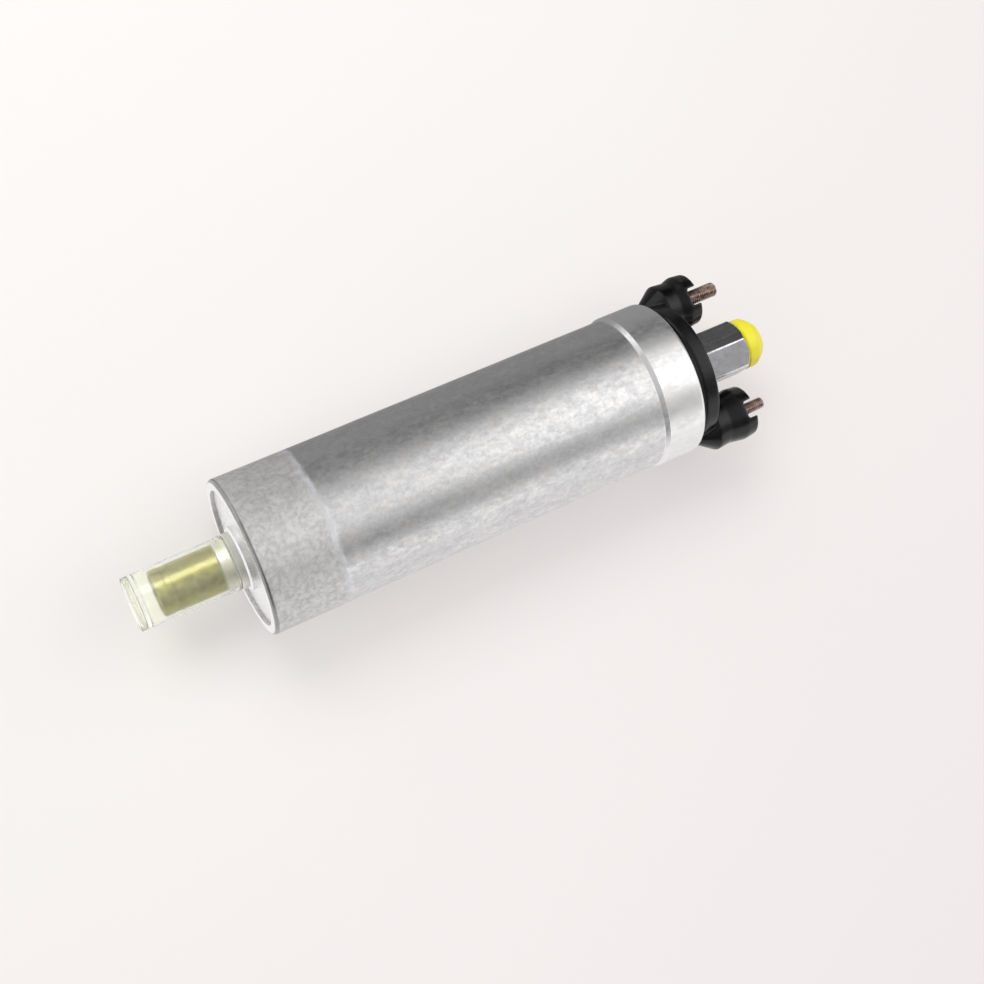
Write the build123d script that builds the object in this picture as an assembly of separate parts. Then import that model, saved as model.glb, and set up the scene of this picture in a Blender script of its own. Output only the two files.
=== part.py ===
from build123d import *

import os
from math import cos, degrees, radians, sin
from typing import NamedTuple

# An in-line electric fuel pump: a gerotor pump stage at the inlet end, a flooded
# direct-current motor in the middle, brushes, terminals and outlet valve at the far end.
# +X runs along the pump axis from inlet to outlet, the terminals stand at +Y and -Y,
# +Z is up. The origin is on the axis, half way between the two rolled rims.
# All sizes are in millimetres.

# Clearances
seat_gap = 0.02
running_gap = 0.04
sliding_gap = 0.06
loose_gap = 0.3
screw_gap = 0.15
core_fit_gap = 0.05

# How far two forms of one piece run into each other where they join
overlap = 0.5

# Housing tube
shell_length = 155.0
shell_radius = 26.0
shell_wall = 1.5
lip_thickness = 1.3
lip_width = 3.4
rim_rounding = 1.5
collar_length = 14.1
collar_rise = 0.7
collar_chamfer = 1.5

rim = shell_length / 2
lip_radius = shell_radius - lip_width
bore_radius = shell_radius - shell_wall
stack_start = -rim + lip_thickness
stack_end = rim - lip_thickness
core_fit_radius = bore_radius - core_fit_gap

# Pieces stacked between the rolled lips, from the inlet end
cover_thickness = 12.2
plate_thickness = 6.0
rotor_chamber = 8.0
carrier_disc = 4.0
cap_body = 14.2

inlet_plate_x = stack_start + cover_thickness
ring_x = inlet_plate_x + plate_thickness
outlet_plate_x = ring_x + rotor_chamber
motor_x = outlet_plate_x + plate_thickness
cap_x = stack_end - cap_body
carrier_x = cap_x - carrier_disc

# O-rings
ring_section = 1.8
groove_width = 2.4
groove_depth = 1.85
groove_floor = core_fit_radius - groove_depth

# Inlet cover
web_thickness = 5.7
cover_wall = 3.95
cover_groove_land = 0.6
boss_height = 2.1
boss_margin = 1.3
boss_chamfer = 0.6
rib_thickness = 2.0
rib_count = 6
rib_end_gap = 2.5

# Spigot
spigot_radius = 7.5
spigot_bore_radius = 6.0
spigot_reach = 27.7
spigot_tail_radius = 7.0
spigot_end_gap = 0.6
spigot_root_rise = 0.7
spigot_root = 4.1
spigot_flange = 2.2
spigot_flange_rise = 1.1
tip_chamfer = 0.8
edge_chamfer = 0.3

spigot_root_radius = spigot_radius + spigot_root_rise
spigot_flange_radius = spigot_root_radius + spigot_flange_rise
boss_radius = spigot_flange_radius + boss_margin
boss_face = stack_start - boss_height
flange_face = boss_face - spigot_flange
spigot_tip = -rim - spigot_reach
web_face = stack_start + web_thickness
cover_cavity_radius = core_fit_radius - cover_wall
inlet_groove_x = web_face - groove_width - cover_groove_land

# Strainer
strainer_wall = 0.6
strainer_lead = 0.9
strainer_end_radius = 5.0
strainer_end_gap = 1.2
strainer_window = 2.4
strainer_window_count = 8
strainer_mouth_radius = spigot_tail_radius + strainer_lead

# Inlet cap
inlet_cap_mouth_gap = 0.6
inlet_cap_head_room = 4.5
inlet_cap_wall = 0.7
inlet_cap_taper = 0.2
inlet_cap_web = 1.2
inlet_cap_rim_depth = 2.2
inlet_cap_bead = 0.3
inlet_cap_bead_length = 1.4
inlet_cap_grip_gap = 0.05

# Gerotor set: the outer rotor has one lobe more than the inner one
inner_lobes = 6
outer_lobes = inner_lobes + 1
lobe_circle = 13.2
lobe_radius = 3.8
eccentricity = 1.35
rotor_wall = 2.0
root_gap = 0.1
flank_gap = 0.05
points_per_lobe = 10
outer_rotor_radius = lobe_circle + rotor_wall

# Pump plates
plate_margin = 0.3
port_shift = 0.5
port_width = 3.2
port_sweep = 130.0
screw_margin = 3.5
screw_count = 3
screw_start = 30.0
screw_radius = 2.0
screw_head_radius = 3.5
screw_head = 3.6
screw_socket = 3.0
screw_socket_depth = 1.8
screw_tip_gap = 1.0
plate_radius = bore_radius - plate_margin
screw_circle = plate_radius - screw_margin
port_radius = lobe_circle - lobe_radius + port_shift

# Relief valve, in a bore through the pump stage
relief_angle = 210.0
relief_margin = 4.8
relief_ball_radius = 2.2
relief_seat_radius = 1.6
relief_seat_gap = 0.03
relief_plug_radius = 2.5
relief_plug_length = 3.4
relief_plug_depth = 0.3
relief_plug_bore = 0.9
relief_slot = 0.9
relief_slot_depth = 1.0
relief_spring_radius = 1.5
relief_spring_wire = 0.25
relief_turns = 4
relief_circle = plate_radius - relief_margin

# Armature shaft and bearings
shaft_radius = 4.0
shaft_flat_depth = 0.8
shaft_chamfer = 0.5
shaft_end_gap = 0.4
shaft_recess_front = 1.5
shaft_recess_rear = 0.7
bush_wall = 2.45
bush_flange = 0.8
bush_flange_rise = 1.55
bearing_boss = 4.6
bearing_boss_wall = 3.05
washer_thickness = 0.8
washer_width = 3.0
bush_radius = shaft_radius + bush_wall

# Commutator, placed from the brush carrier
commutator_set_back = 14.8
commutator_length = 9.8
segment_thickness = 3.2
segment_gap = 0.7
segment_margin = 0.25
segment_step = 1.0
hook_width = 2.0
hook_height = 1.2
hook_length = 2.8
hub_radius = 12.0
hub_taper = 1.5
hub_land = 2.0
hub_sleeve = 1.9
hub_sleeve_wall = 1.8
commutator_face = carrier_x - commutator_set_back
hub_start = commutator_face - commutator_length
hub_sleeve_radius = shaft_radius + hub_sleeve_wall

# Motor: the core fills what the pump stage and the commutator leave
flux_wall = 2.05
magnet_thickness = 5.0
magnet_sweep = 132.0
magnet_overhang = 6.0
clip_thickness = 0.8
clip_end_gap = 4.0
air_gap = 0.5
core_set_back = 18.0
slot_count = 8
slot_bottom = 8.6
slot_cover = 2.3
slot_bottom_half = 1.5
slot_top_half = 3.9
slot_mouth_half = 1.0
insulator_thickness = 0.8
winding_head = 8.2
winding_depth = 1.7
winding_step = 2.6
winding_gap = 0.05
winding_slot_gap = 0.12
winding_hub_gap = 0.35
winding_bevel = 2.0

flux_ring_inner = core_fit_radius - flux_wall
magnet_inner = flux_ring_inner - magnet_thickness
core_radius = magnet_inner - air_gap
slot_top = core_radius - slot_cover
winding_radius = core_radius - winding_depth
winding_inner = shaft_radius + winding_step
core_start = motor_x + core_set_back
core_end = hub_start - winding_hub_gap - winding_head - winding_gap - insulator_thickness

# Brush gear
brush_width = 6.0
brush_height = 7.5
brush_length = 13.75
brush_chamfer = 0.5
holder_wall = 1.3
holder_face_gap = 2.3
holder_end_gap = 0.5
holder_back = 1.5
hub_wall = 2.15
hub_clear = 1.3
hub_bore_gap = 1.0
hub_play = 1.2
rear_bush_depth = 0.7
rear_bush_length = 9.0
retainer_thickness = 0.7
retainer_rise = 0.95
retainer_bore_gap = 0.9
retainer_teeth = 6
retainer_notch = 1.6
retainer_notch_depth = 1.2
flow_hole_radius = 2.6
flow_hole_margin = 4.75
flow_hole_step = 26.0
brush_spring_radius = 2.4
brush_spring_wire = 0.3
brush_turns = 4
lead_radius = 0.6
lead_rise = 3.05
lead_bend = 1.8
lead_exit = 4.0
lead_slot = 2.0
lead_slot_depth = 6.0
lead_hole_radius = 1.2

carrier_hub_x = commutator_face + hub_sleeve + hub_play
rear_bush_x = carrier_hub_x + rear_bush_depth
hub_clear_radius = bush_radius + hub_clear
retainer_radius = bush_radius + retainer_rise
brush_y = hub_clear_radius + 0.1 + brush_height / 2
lead_y = brush_y + brush_height / 2 + lead_rise
segment_inner = hub_sleeve_radius + segment_step
segment_outer = brush_y + brush_height / 2 + segment_margin

# End cap
cap_chamber_wall = 2.2
cap_chamber = 8.0
cap_chamber_chamfer = 1.0
cap_groove_land = 1.2
cap_neck_gap = 0.2
cap_neck_reach = 1.0
cap_disc_inset = 2.2
cap_disc_start = 2.5
cap_face_height = 7.5
cap_edge_rounding = 0.8
cap_boss_radius = 11.6
cap_boss = 1.5
cap_boss_taper = 0.8
pocket_inner_wall = 4.5
pocket_outer_wall = 5.45
pocket_sweep = 70.0
pocket_roof = 5.0
face_pocket_depth = 2.5
face_pocket_rim = 2.2
face_pocket_land = 1.8
face_pocket_sweep = 50.0
face_pocket_turn = 29.0
cap_web_height = 4.0
cap_web_thickness = 3.0

cap_face = rim + cap_face_height
cap_chamber_radius = core_fit_radius - cap_chamber_wall
cap_disc_radius = shell_radius - cap_disc_inset
cap_neck_radius = lip_radius - cap_neck_gap
flow_hole_circle = cap_chamber_radius - flow_hole_margin
holder_start = commutator_face + holder_face_gap
holder_end = cap_x + cap_chamber - holder_end_gap
end_groove_x = cap_x + cap_chamber + cap_groove_land

# Terminal towers, heights measured from the rim and the crown from its own top
tower_inset = 4.7
tower_foot = 2.4
tower_foot_radius = 4.4
tower_shoulder = 8.7
tower_shoulder_radius = 8.75
tower_waist = 13.4
tower_waist_radius = 8.3
tower_crown = 4.4
tower_crown_radius = 9.3
tower_top_radius = 8.8
tower_floor = 13.0
tower_pocket_radius = 7.0
tower_slot_width = 8.4
tower_notch_width = 6.0
tower_notch_depth = 3.6
tower_notch_rounding = 1.0
tower_rounding = 0.7
tower_y = shell_radius - tower_inset

# Terminal studs and their straps
stud_reach = 31.1
stud_head_radius = 4.2
stud_head = 2.0
stud_shank_radius = 2.9
stud_free_gap = 0.1
nut_chamfer = 0.4
nut_chamfer_height = 0.3
strap_width = 5.0
strap_thickness = 1.0
strap_lap = 4.0
strap_start = cap_x + strap_lap

# Outlet fitting and its valve
stem_radius = 6.0
insert_wall = 2.5
insert_depth = 2.0
insert_groove = 0.6
stem_depth = 2.0
seal_width = 3.2
seal_thickness = 1.5
hex_across_flats = 17.0
hex_turn = 21.5
hex_chamfer = 0.9
hex_chamfer_height = 0.5
fitting_reach = 30.5
port_thread_radius = 5.2
port_thread_length = 9.8
port_recess_radius = 6.9
port_recess = 3.0
valve_chamber_radius = 4.3
valve_seat_depth = 8.0
valve_seat_radius = 2.8
valve_lift = 2.2
valve_end_gap = 0.35
poppet_clearance = 0.6
poppet_head = 1.8
poppet_nose = 1.0
poppet_nose_step = 1.2
poppet_seat_gap = 0.05
poppet_stem_radius = 1.5
poppet_wing_length = 3.0
poppet_wing_width = 1.0
poppet_wing_depth = 1.14
poppet_wing_count = 3
retainer_disc = 1.0
retainer_disc_gap = 0.1
retainer_disc_bore = 1.2
retainer_disc_hole = 0.8
retainer_disc_circle = 2.75
retainer_disc_holes = 4
valve_spring_radius = 2.5
valve_spring_wire = 0.3
valve_turns = 5

insert_radius = stem_radius + insert_wall
insert_start = cap_x + cap_chamber + insert_depth
stem_start = insert_start + stem_depth
seal_x = cap_face + cap_boss
hex_x = seal_x + seal_thickness
fitting_end = rim + fitting_reach
thread_end = fitting_end - port_recess
thread_start = thread_end - port_thread_length
valve_seat_x = stem_start + valve_seat_depth
valve_retainer_x = thread_start - retainer_disc_gap - retainer_disc
poppet_radius = valve_chamber_radius - poppet_clearance
poppet_wing_radius = valve_chamber_radius - sliding_gap

# Outlet cap
outlet_cap_rise = 0.2
outlet_cap_side = 4.0
outlet_cap_height = 8.5
outlet_cap_crown_radius = 4.5
outlet_cap_dome = 7.0
outlet_cap_wall = 1.2
outlet_cap_skirt_gap = 0.2
outlet_cap_radius = hex_across_flats / 2 + outlet_cap_rise
outlet_cap_cavity = port_recess_radius - outlet_cap_wall


def station(x):
    """The plane across the pump axis at x, with its own x along +Y and its own y along +Z."""
    return Plane(origin=(x, 0, 0), x_dir=(0, 1, 0), z_dir=(1, 0, 0))


def slab(outline, x_from, x_to):
    """An outline drawn across the axis, carried along the axis from one station to another."""
    return extrude(station(x_from) * outline, amount=x_to - x_from)


def rod(radius, x_from, x_to, y=0.0, z=0.0):
    return slab(Pos(y, z) * Circle(radius), x_from, x_to)


def sleeve(outer, inner, x_from, x_to, y=0.0, z=0.0):
    return slab(Pos(y, z) * (Circle(outer) - Circle(inner)), x_from, x_to)


def turned(*corners):
    """A solid turned about the pump axis from (x, radius) corners; a third value rounds the corner."""
    outline = make_face(Polyline(*[corner[:2] for corner in corners], close=True))
    for corner in corners:
        if len(corner) == 3:
            x, radius, rounding = corner
            vertex = outline.vertices().sort_by_distance((x, radius, 0))[0]
            outline = fillet(vertex, rounding)
    return revolve(outline, Axis.X)


def around(piece, count, start=0.0):
    """Equal copies of a piece spaced evenly around the pump axis."""
    return [Rot(X=start + 360 / count * index) * piece for index in range(count)]


def group(pieces):
    """Separate solids that share one node."""
    return Compound([solid for piece in pieces for solid in piece.solids()])


def arc_slot(radius, width, middle, sweep):
    """A kidney-shaped slot with round ends, centred on an angle."""
    return SlotArc(CenterArc((0, 0), radius, middle - sweep / 2, sweep), width)


def ring_sector(outer, inner, middle, sweep):
    """A piece of a flat ring, centred on an angle."""
    start = middle - sweep / 2
    outside = CenterArc((0, 0), outer, start, sweep)
    inside = CenterArc((0, 0), inner, start, sweep)
    ends = [Line(outside @ end, inside @ end) for end in (0, 1)]
    return make_face(outside + inside + ends)


def spring(radius, wire, x_from, x_to, turns, y=0.0, z=0.0):
    """A compression spring between two stations, its wire drawn with four flats."""
    height = x_to - x_from - 2 * wire
    coil = Helix(height / turns, height, radius, center=(x_from + wire, y, z), direction=(1, 0, 0))
    section = Plane(coil @ 0, z_dir=coil % 0) * RegularPolygon(wire, 4)
    return sweep(section, coil, is_frenet=True)


def hexagon_bar(across_flats, x_from, x_to, bevel, bevel_height, turn=0.0):
    """A hexagon bar on the pump axis, its corners turned off at both ends."""
    corner = across_flats / 2 / cos(radians(30))
    limit = turned(
        (x_from, 0.0),
        (x_from, corner - bevel),
        (x_from + bevel_height, corner),
        (x_to - bevel_height, corner),
        (x_to, corner - bevel),
        (x_to, 0.0),
    )
    outline = Rot(Z=turn) * RegularPolygon(across_flats / 2, 6, major_radius=False)
    return slab(outline, x_from, x_to) & limit


def polar(radius, angle):
    return radius * cos(radians(angle)), radius * sin(radians(angle))


def housing_tube():
    """Deep-drawn tube with a raised collar, both rims rolled inwards over the end pieces."""
    collar_x = rim - collar_length
    collar_radius = shell_radius + collar_rise
    return turned(
        (-rim, lip_radius),
        (-rim, shell_radius, rim_rounding),
        (collar_x - collar_chamfer, shell_radius),
        (collar_x, collar_radius),
        (rim, collar_radius, rim_rounding),
        (rim, lip_radius),
        (stack_end, lip_radius),
        (stack_end, bore_radius),
        (stack_start, bore_radius),
        (stack_start, lip_radius),
    )


def inlet_cover():
    """Cast end cover: a boss for the spigot outside, a ribbed chamber over the pump inside."""
    body = turned(
        (boss_face, spigot_tail_radius),
        (boss_face, boss_radius - boss_chamfer),
        (boss_face + boss_chamfer, boss_radius),
        (stack_start, boss_radius),
        (stack_start, core_fit_radius - edge_chamfer),
        (stack_start + edge_chamfer, core_fit_radius),
        (inlet_groove_x, core_fit_radius),
        (inlet_groove_x, groove_floor),
        (inlet_groove_x + groove_width, groove_floor),
        (inlet_groove_x + groove_width, core_fit_radius),
        (inlet_plate_x, core_fit_radius),
        (inlet_plate_x, cover_cavity_radius),
        (web_face + boss_chamfer, cover_cavity_radius),
        (web_face, cover_cavity_radius - boss_chamfer),
        (web_face, spigot_tail_radius),
    )
    rib_length = cover_cavity_radius + overlap - boss_radius
    rib_outline = Pos(boss_radius + rib_length / 2, 0) * Rectangle(rib_length, rib_thickness)
    rib = slab(rib_outline, web_face - overlap, inlet_plate_x - rib_end_gap)
    for copy in around(rib, rib_count):
        body += copy
    return body


def seal_ring(x_from):
    """An O-ring squeezed in its groove against the tube."""
    middle_radius = core_fit_radius - groove_depth / 2
    section = Rot(Z=22.5) * RegularPolygon(ring_section / 2, 8, major_radius=False)
    return revolve(Pos(x_from + groove_width / 2, middle_radius) * section, Axis.X)


def inlet_oring():
    return seal_ring(inlet_groove_x)


def inlet_spigot():
    """Turned hose stub with a shoulder against the cover and a thicker root under the cap's mouth."""
    tail_end = web_face - spigot_end_gap
    tail_radius = spigot_tail_radius - seat_gap
    return turned(
        (tail_end, spigot_bore_radius),
        (tail_end, tail_radius),
        (boss_face, tail_radius),
        (boss_face, spigot_flange_radius),
        (flange_face + edge_chamfer, spigot_flange_radius),
        (flange_face, spigot_flange_radius - edge_chamfer),
        (flange_face, spigot_root_radius),
        (flange_face - spigot_root, spigot_root_radius),
        (flange_face - spigot_root, spigot_radius),
        (spigot_tip + tip_chamfer, spigot_radius),
        (spigot_tip, spigot_radius - tip_chamfer),
        (spigot_tip, spigot_bore_radius),
    )


def inlet_strainer():
    """Conical strainer basket over the inlet bore, with open windows round its side."""
    flange_end = web_face + strainer_wall
    basket_end = inlet_plate_x - strainer_end_gap
    basket = turned(
        (web_face, strainer_mouth_radius - strainer_wall),
        (web_face, spigot_flange_radius),
        (flange_end, spigot_flange_radius),
        (flange_end, strainer_mouth_radius),
        (basket_end, strainer_end_radius),
        (basket_end, 0.0),
        (basket_end - strainer_wall, 0.0),
        (basket_end - strainer_wall, strainer_end_radius - strainer_wall),
    )
    window_outline = Pos(strainer_mouth_radius / 2, 0) * Rectangle(strainer_mouth_radius, strainer_window)
    window = slab(window_outline, flange_end + strainer_wall, basket_end - 2 * strainer_wall)
    for cut in around(window, strainer_window_count):
        basket -= cut
    return basket


def inlet_cap():
    """Thin push-on dust cap: a plain cup over the spigot, with a finger rim past its closed end."""
    mouth = flange_face - inlet_cap_mouth_gap
    floor = spigot_tip - inlet_cap_head_room
    web = floor - inlet_cap_web
    end = web - inlet_cap_rim_depth
    inner = spigot_root_radius + inlet_cap_grip_gap
    outer = inner + inlet_cap_wall
    end_outer = outer - inlet_cap_taper
    end_inner = end_outer - inlet_cap_wall
    bead = outer + inlet_cap_bead
    return turned(
        (mouth, inner),
        (mouth, bead),
        (mouth - inlet_cap_bead_length, bead),
        (mouth - inlet_cap_bead_length - inlet_cap_bead, outer),
        (end, end_outer),
        (end, end_inner),
        (web, end_inner),
        (web, 0.0),
        (floor, 0.0),
        (floor, inner),
    )


def screw_places():
    """Where the screws that clamp the pump stage stand, across the axis."""
    return [polar(screw_circle, screw_start + 360 / screw_count * index) for index in range(screw_count)]


def screw_holes(radius, x_from, x_to):
    return [rod(radius, x_from, x_to, *place) for place in screw_places()]


def pump_inlet_plate():
    """Suction plate: kidney port, screw counterbores and the relief valve's plug hole."""
    plate = rod(plate_radius, inlet_plate_x, ring_x)
    plate -= slab(arc_slot(port_radius, port_width, 0, port_sweep), inlet_plate_x, ring_x)
    plate -= rod(shaft_radius + loose_gap, ring_x - shaft_recess_front, ring_x)
    plate -= rod(relief_plug_radius + seat_gap, inlet_plate_x, ring_x, *polar(relief_circle, relief_angle))
    for hole in screw_holes(screw_radius + screw_gap, inlet_plate_x, ring_x):
        plate -= hole
    sink_end = inlet_plate_x + screw_gap + screw_head
    for sink in screw_holes(screw_head_radius + screw_gap, inlet_plate_x, sink_end):
        plate -= sink
    return plate


def pump_ring():
    """Eccentric ring: the outer rotor's bore is offset upwards from the shaft."""
    ring = rod(plate_radius, ring_x, outlet_plate_x)
    ring -= rod(outer_rotor_radius + running_gap, ring_x, outlet_plate_x, 0, eccentricity)
    bore = relief_ball_radius + sliding_gap
    ring -= rod(bore, ring_x, outlet_plate_x, *polar(relief_circle, relief_angle))
    for hole in screw_holes(screw_radius + screw_gap, ring_x, outlet_plate_x):
        ring -= hole
    return ring


def lobe_flank(turn):
    """A point of the inner rotor: the outer lobe's rolling centre, stepped in by the lobe radius."""
    fast = outer_lobes * turn + radians(90)
    centre_y = lobe_circle * cos(turn) + eccentricity * cos(fast)
    centre_z = lobe_circle * sin(turn) + eccentricity * sin(fast)
    along_y = -lobe_circle * sin(turn) - eccentricity * outer_lobes * sin(fast)
    along_z = lobe_circle * cos(turn) + eccentricity * outer_lobes * cos(fast)
    step = (lobe_radius + flank_gap) / (along_y**2 + along_z**2) ** 0.5
    return centre_y - along_z * step, centre_z + along_y * step


def gerotor_inner():
    """Six-lobed rotor, driven by the shaft's two flats."""
    samples = inner_lobes * points_per_lobe
    flank = [lobe_flank(radians(360 / samples * index)) for index in range(samples)]
    outline = make_face(Spline(*flank, periodic=True))
    flat = shaft_radius - shaft_flat_depth + seat_gap
    hole = Circle(shaft_radius + seat_gap) & Rectangle(2 * flat, 3 * shaft_radius)
    return slab(outline - hole, ring_x + running_gap, outlet_plate_x - running_gap)


def gerotor_outer():
    """Seven-lobed ring that the inner rotor carries round in the eccentric bore."""
    pocket_radius = lobe_circle + 2 * eccentricity - lobe_radius + root_gap
    inside = Circle(pocket_radius)
    for index in range(outer_lobes):
        lobe = Pos(*polar(lobe_circle, 360 / outer_lobes * index)) * Circle(lobe_radius)
        inside -= lobe
    outline = Circle(outer_rotor_radius) - inside
    return slab(Pos(0, eccentricity) * outline, ring_x + running_gap, outlet_plate_x - running_gap)


def pump_outlet_plate():
    """Pressure plate: kidney port, bearing boss and the relief valve's seat."""
    boss_end = motor_x + bearing_boss
    plate = rod(plate_radius, outlet_plate_x, motor_x) + rod(bush_radius + bearing_boss_wall, motor_x, boss_end)
    plate -= slab(arc_slot(port_radius, port_width, 180, port_sweep), outlet_plate_x, boss_end)
    seat_start = outlet_plate_x + shaft_recess_rear
    plate -= rod(shaft_radius + loose_gap, outlet_plate_x, seat_start)
    plate -= rod(bush_radius + seat_gap, seat_start, boss_end)
    plate -= rod(relief_seat_radius, outlet_plate_x, motor_x, *polar(relief_circle, relief_angle))
    for hole in screw_holes(screw_radius + seat_gap, outlet_plate_x, motor_x):
        plate -= hole
    return plate


def pump_screws():
    """Three socket screws that clamp plate, ring and plate."""
    head_x = inlet_plate_x + screw_gap
    hexagon = RegularPolygon(screw_socket / 2, 6, major_radius=False)
    socket = slab(hexagon, head_x, head_x + screw_socket_depth)
    head = rod(screw_head_radius, head_x, head_x + screw_head) - socket
    screw = head + rod(screw_radius, head_x + screw_head, motor_x - screw_tip_gap)
    return group([Pos(0, *place) * screw for place in screw_places()])


def relief_centre():
    """Where the closed relief ball's centre lies: on the edge of its seat."""
    stand_off = (relief_ball_radius**2 - relief_seat_radius**2) ** 0.5
    return outlet_plate_x - stand_off - relief_seat_gap


def relief_ball():
    return Pos(relief_centre(), *polar(relief_circle, relief_angle)) * Sphere(relief_ball_radius)


def relief_spring():
    back = relief_centre() - (relief_ball_radius**2 - relief_spring_radius**2) ** 0.5
    front = inlet_plate_x + relief_plug_depth + relief_plug_length
    wire = relief_spring_wire
    seat = polar(relief_circle, relief_angle)
    return spring(relief_spring_radius, wire, front + seat_gap, back - wire, relief_turns, *seat)


def relief_plug():
    """Hollow screwed plug that sets the relief spring, with a driver slot."""
    x_from = inlet_plate_x + relief_plug_depth
    x_to = x_from + relief_plug_length
    outline = Circle(relief_plug_radius) - Circle(relief_plug_bore)
    slot = slab(Rectangle(3 * relief_plug_radius, relief_slot), x_from, x_from + relief_slot_depth)
    return Pos(0, *polar(relief_circle, relief_angle)) * (slab(outline, x_from, x_to) - slot)


def front_bearing():
    """Flanged sintered bush in the pressure plate."""
    inner = shaft_radius + running_gap
    seat_end = motor_x + bearing_boss
    bush_start = outlet_plate_x + shaft_recess_rear + seat_gap
    bush = sleeve(bush_radius, inner, bush_start, seat_end + bush_flange)
    return bush + sleeve(bush_radius + bush_flange_rise, inner, seat_end, seat_end + bush_flange)


def rear_bearing():
    """Plain sintered bush in the brush carrier."""
    x_to = rear_bush_x + rear_bush_length
    return sleeve(bush_radius, shaft_radius + running_gap, rear_bush_x, x_to)


def bearing_retainer():
    """Toothed spring disc that holds the rear bush in its seat."""
    x_from = rear_bush_x + rear_bush_length + seat_gap
    disc = Circle(retainer_radius) - Circle(shaft_radius + retainer_bore_gap)
    notch = Pos(retainer_radius, 0) * Rectangle(2 * retainer_notch_depth, retainer_notch)
    for index in range(retainer_teeth):
        disc -= Rot(Z=360 / retainer_teeth * index) * notch
    return slab(disc, x_from, x_from + retainer_thickness)


def flux_ring():
    """Soft-iron ring that carries the magnets and spaces the pump stage from the brush gear."""
    return sleeve(core_fit_radius, flux_ring_inner, motor_x, carrier_x)


def magnet(middle):
    """Curved ceramic magnet against the flux ring."""
    outline = ring_sector(flux_ring_inner - seat_gap, magnet_inner, middle, magnet_sweep)
    return slab(outline, core_start - magnet_overhang, core_end + magnet_overhang)


def magnet_clips():
    """Two spring-steel channels that push the magnets apart."""
    outer = flux_ring_inner - seat_gap
    inner = magnet_inner + clip_thickness
    lean = 90 - magnet_sweep / 2 - degrees((clip_thickness / 2 + seat_gap) / inner)
    back = ring_sector(outer, outer - clip_thickness, 0, 2 * lean)
    leg = Pos((inner + outer - overlap) / 2, 0) * Rectangle(outer - overlap - inner, clip_thickness)
    outline = back + Rot(Z=lean) * leg + Rot(Z=-lean) * leg
    overhang = magnet_overhang - clip_end_gap
    return group(around(slab(outline, core_start - overhang, core_end + overhang), 2))


def slot_outline(shrink=0.0):
    """One winding slot of the armature, wider towards the rim."""
    bottom, top = slot_bottom_half - shrink, slot_top_half - shrink
    return make_face(
        Polyline(
            (slot_bottom + shrink, -bottom),
            (slot_top - shrink, -top),
            (slot_top - shrink, top),
            (slot_bottom + shrink, bottom),
            close=True,
        )
    )


def armature_section():
    """Cross-section of the laminations: eight T-shaped teeth round the shaft."""
    outline = Circle(core_radius) - Circle(shaft_radius + seat_gap)
    mouth_depth = core_radius - slot_top + 2 * overlap
    mouth = Pos((slot_top + core_radius) / 2, 0) * Rectangle(mouth_depth, 2 * slot_mouth_half)
    for index in range(slot_count):
        outline -= Rot(Z=360 / slot_count * index) * (slot_outline() + mouth)
    return outline


def armature_core():
    return slab(armature_section(), core_start, core_end)


def armature_insulators():
    """Star-shaped insulating discs on the two ends of the core."""
    section = armature_section()
    front = slab(section, core_start - insulator_thickness, core_start)
    rear = slab(section, core_end, core_end + insulator_thickness)
    return group([front, rear])


def armature_windings():
    """Varnished coils: a bundle in each slot, joined by rounded heads at both ends."""
    head_start = core_start - insulator_thickness - winding_gap
    head_end = core_end + insulator_thickness + winding_gap
    front = turned(
        (head_start - winding_head, winding_inner),
        (head_start - winding_head, winding_radius - winding_bevel),
        (head_start - winding_head + winding_bevel, winding_radius),
        (head_start, winding_radius),
        (head_start, winding_inner),
    )
    rear = turned(
        (head_end, winding_inner),
        (head_end, winding_radius),
        (head_end + winding_head - winding_bevel, winding_radius),
        (head_end + winding_head, winding_radius - winding_bevel),
        (head_end + winding_head, winding_inner),
    )
    coils = front + rear
    bundle = slab(slot_outline(winding_slot_gap), head_start - overlap, head_end + overlap)
    for copy in around(bundle, slot_count):
        coils += copy
    return coils


def armature_shaft():
    """Ground shaft, with two flats at the pump end."""
    front = ring_x - shaft_recess_front / 2
    rear = rear_bush_x + rear_bush_length - shaft_end_gap
    shaft = turned(
        (front, 0.0),
        (front, shaft_radius - shaft_chamfer),
        (front + shaft_chamfer, shaft_radius),
        (rear - shaft_chamfer, shaft_radius),
        (rear, shaft_radius - shaft_chamfer),
        (rear, 0.0),
    )
    flat_place = Pos(shaft_radius - shaft_flat_depth + shaft_radius / 2, 0)
    flat = flat_place * Rectangle(shaft_radius, 3 * shaft_radius)
    cut = slab(flat, front, outlet_plate_x + shaft_recess_rear / 2)
    return shaft - cut - Rot(X=180) * cut


def thrust_washers():
    """A washer between each bearing and the turning parts."""
    inner = shaft_radius + seat_gap
    front_x = motor_x + bearing_boss + bush_flange + running_gap
    front = sleeve(shaft_radius + washer_width, inner, front_x, front_x + washer_thickness)
    rear_x = carrier_hub_x - running_gap - washer_thickness
    rear = sleeve(hub_sleeve_radius, inner, rear_x, rear_x + washer_thickness)
    return group([front, rear])


def commutator_hub():
    """Moulded hub that carries the commutator's copper."""
    inner = shaft_radius + seat_gap
    back = commutator_face - segment_thickness
    return turned(
        (hub_start, inner),
        (hub_start, hub_radius - hub_taper),
        (back - hub_land, hub_radius),
        (back, hub_radius),
        (back, hub_sleeve_radius),
        (commutator_face + hub_sleeve, hub_sleeve_radius),
        (commutator_face + hub_sleeve, inner),
    )


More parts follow.
